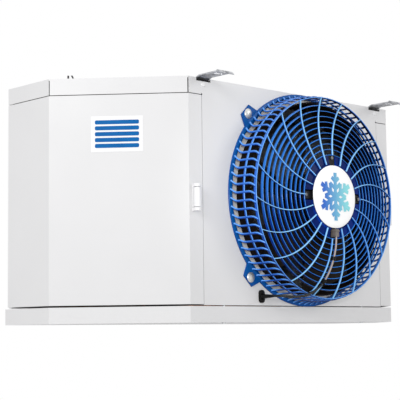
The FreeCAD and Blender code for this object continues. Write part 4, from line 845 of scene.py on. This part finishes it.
# Door latches. White moulded barrels, each of which turns on a plated steel pin between the two knuckles of
# its base. The doors' and the pan's pins and screws are of the same steel.
latch_white = new_material("latch_white_plastic", (0.88, 0.88, 0.89), 0.28)
tint(latch_white, noise(latch_white, 25.0), (0.86, 0.86, 0.87), (0.90, 0.90, 0.91))
grain(latch_white, noise(latch_white, 600.0, 2.0), 0.05, 0.0002)
dress(latch_white, "left_latch_base", "left_latch_lever", "right_latch_base", "right_latch_lever")
steel = new_material("plated_steel", (0.55, 0.56, 0.57), 0.3, 1.0)
tint(steel, noise(steel, 90.0), (0.46, 0.47, 0.49), (0.62, 0.63, 0.64))
gloss(steel, noise(steel, 120.0), 0.22, 0.4)
dress(steel, "left_latch_pin", "right_latch_pin", "left_door_pins", "right_door_pins", "pan_bolts",
      "pan_hinge_pins")

# Plate on the left chamfer. A thin white plate glued to the door, filled with five plain blue bars in
# printed film.
label_film = new_material("label_white_film", (0.93, 0.93, 0.94), 0.3)
tint(label_film, noise(label_film, 20.0), (0.92, 0.92, 0.93), (0.95, 0.95, 0.96))
dress(label_film, "label_plate")
chamfer_way = Vector((-0.242, 0.259, 0.0)).normalized()
chamfer_out = Vector((-0.259, -0.242, 0.0)).normalized()
chamfer_corner = Vector((-0.393, -0.219, -0.196))
plate_along = 0.115
plate_thick = 0.0008
plate_corner = chamfer_corner + chamfer_way * plate_along + chamfer_out * plate_thick
bar_count = 5
bar_length = 0.112
bar_tall = 0.0105
bar_thick = 0.0003
bar_corner = 0.0035
bar_step = 0.0150
bars_middle = (0.066, 0.0455)
bars = bmesh.new()
for index in range(bar_count):
    bar = bmesh.new()
    bmesh.ops.create_cube(bar, size=1.0, matrix=Matrix.Diagonal((bar_length, bar_tall, bar_thick, 1)))
    uprights = [e for e in bar.edges if abs(e.verts[0].co.z - e.verts[1].co.z) > 1e-5]
    bmesh.ops.bevel(bar, geom=uprights, offset=bar_corner, segments=4, profile=0.5, affect="EDGES",
                    material=-1)
    bar_height = bars_middle[1] + (index - bar_count // 2) * bar_step
    bmesh.ops.translate(bar, verts=bar.verts, vec=(bars_middle[0], bar_height, bar_thick / 2))
    join(bars, bar)
plate_frame = Matrix((
    (chamfer_way.x, 0.0, chamfer_out.x, plate_corner.x),
    (chamfer_way.y, 0.0, chamfer_out.y, plate_corner.y),
    (0.0, 1.0, 0.0, plate_corner.z),
    (0.0, 0.0, 0.0, 1.0)))
label_blue = new_material("label_blue_film", (0.0, 0.13, 0.42), 0.3)
shine(label_blue, 0.1)
tint(label_blue, noise(label_blue, 30.0), (0.0, 0.12, 0.40), (0.0, 0.15, 0.46))
make_piece("label_bars", bars, label_blue, "left_door_body", (), place=plate_frame)

# Drain pan's outlet and hinges. The outlet is a threaded steel spout with a hexagon against the pan's rear
# wall. Folded zinc leaves on the pan and on the rear panels carry the pan at the back.
drain_steel = new_material("threaded_steel", (0.50, 0.51, 0.52), 0.35, 1.0)
tint(drain_steel, noise(drain_steel, 70.0), (0.42, 0.43, 0.44), (0.58, 0.59, 0.60))
grain(drain_steel, noise(drain_steel, 1.0, 1.0, (60.0, 700.0, 60.0)), 0.4, 0.0006)
dress(drain_steel, "drain_fitting")
dress(zinc, "pan_hinge_fixed_leaves", "pan_hinge_pan_leaves")
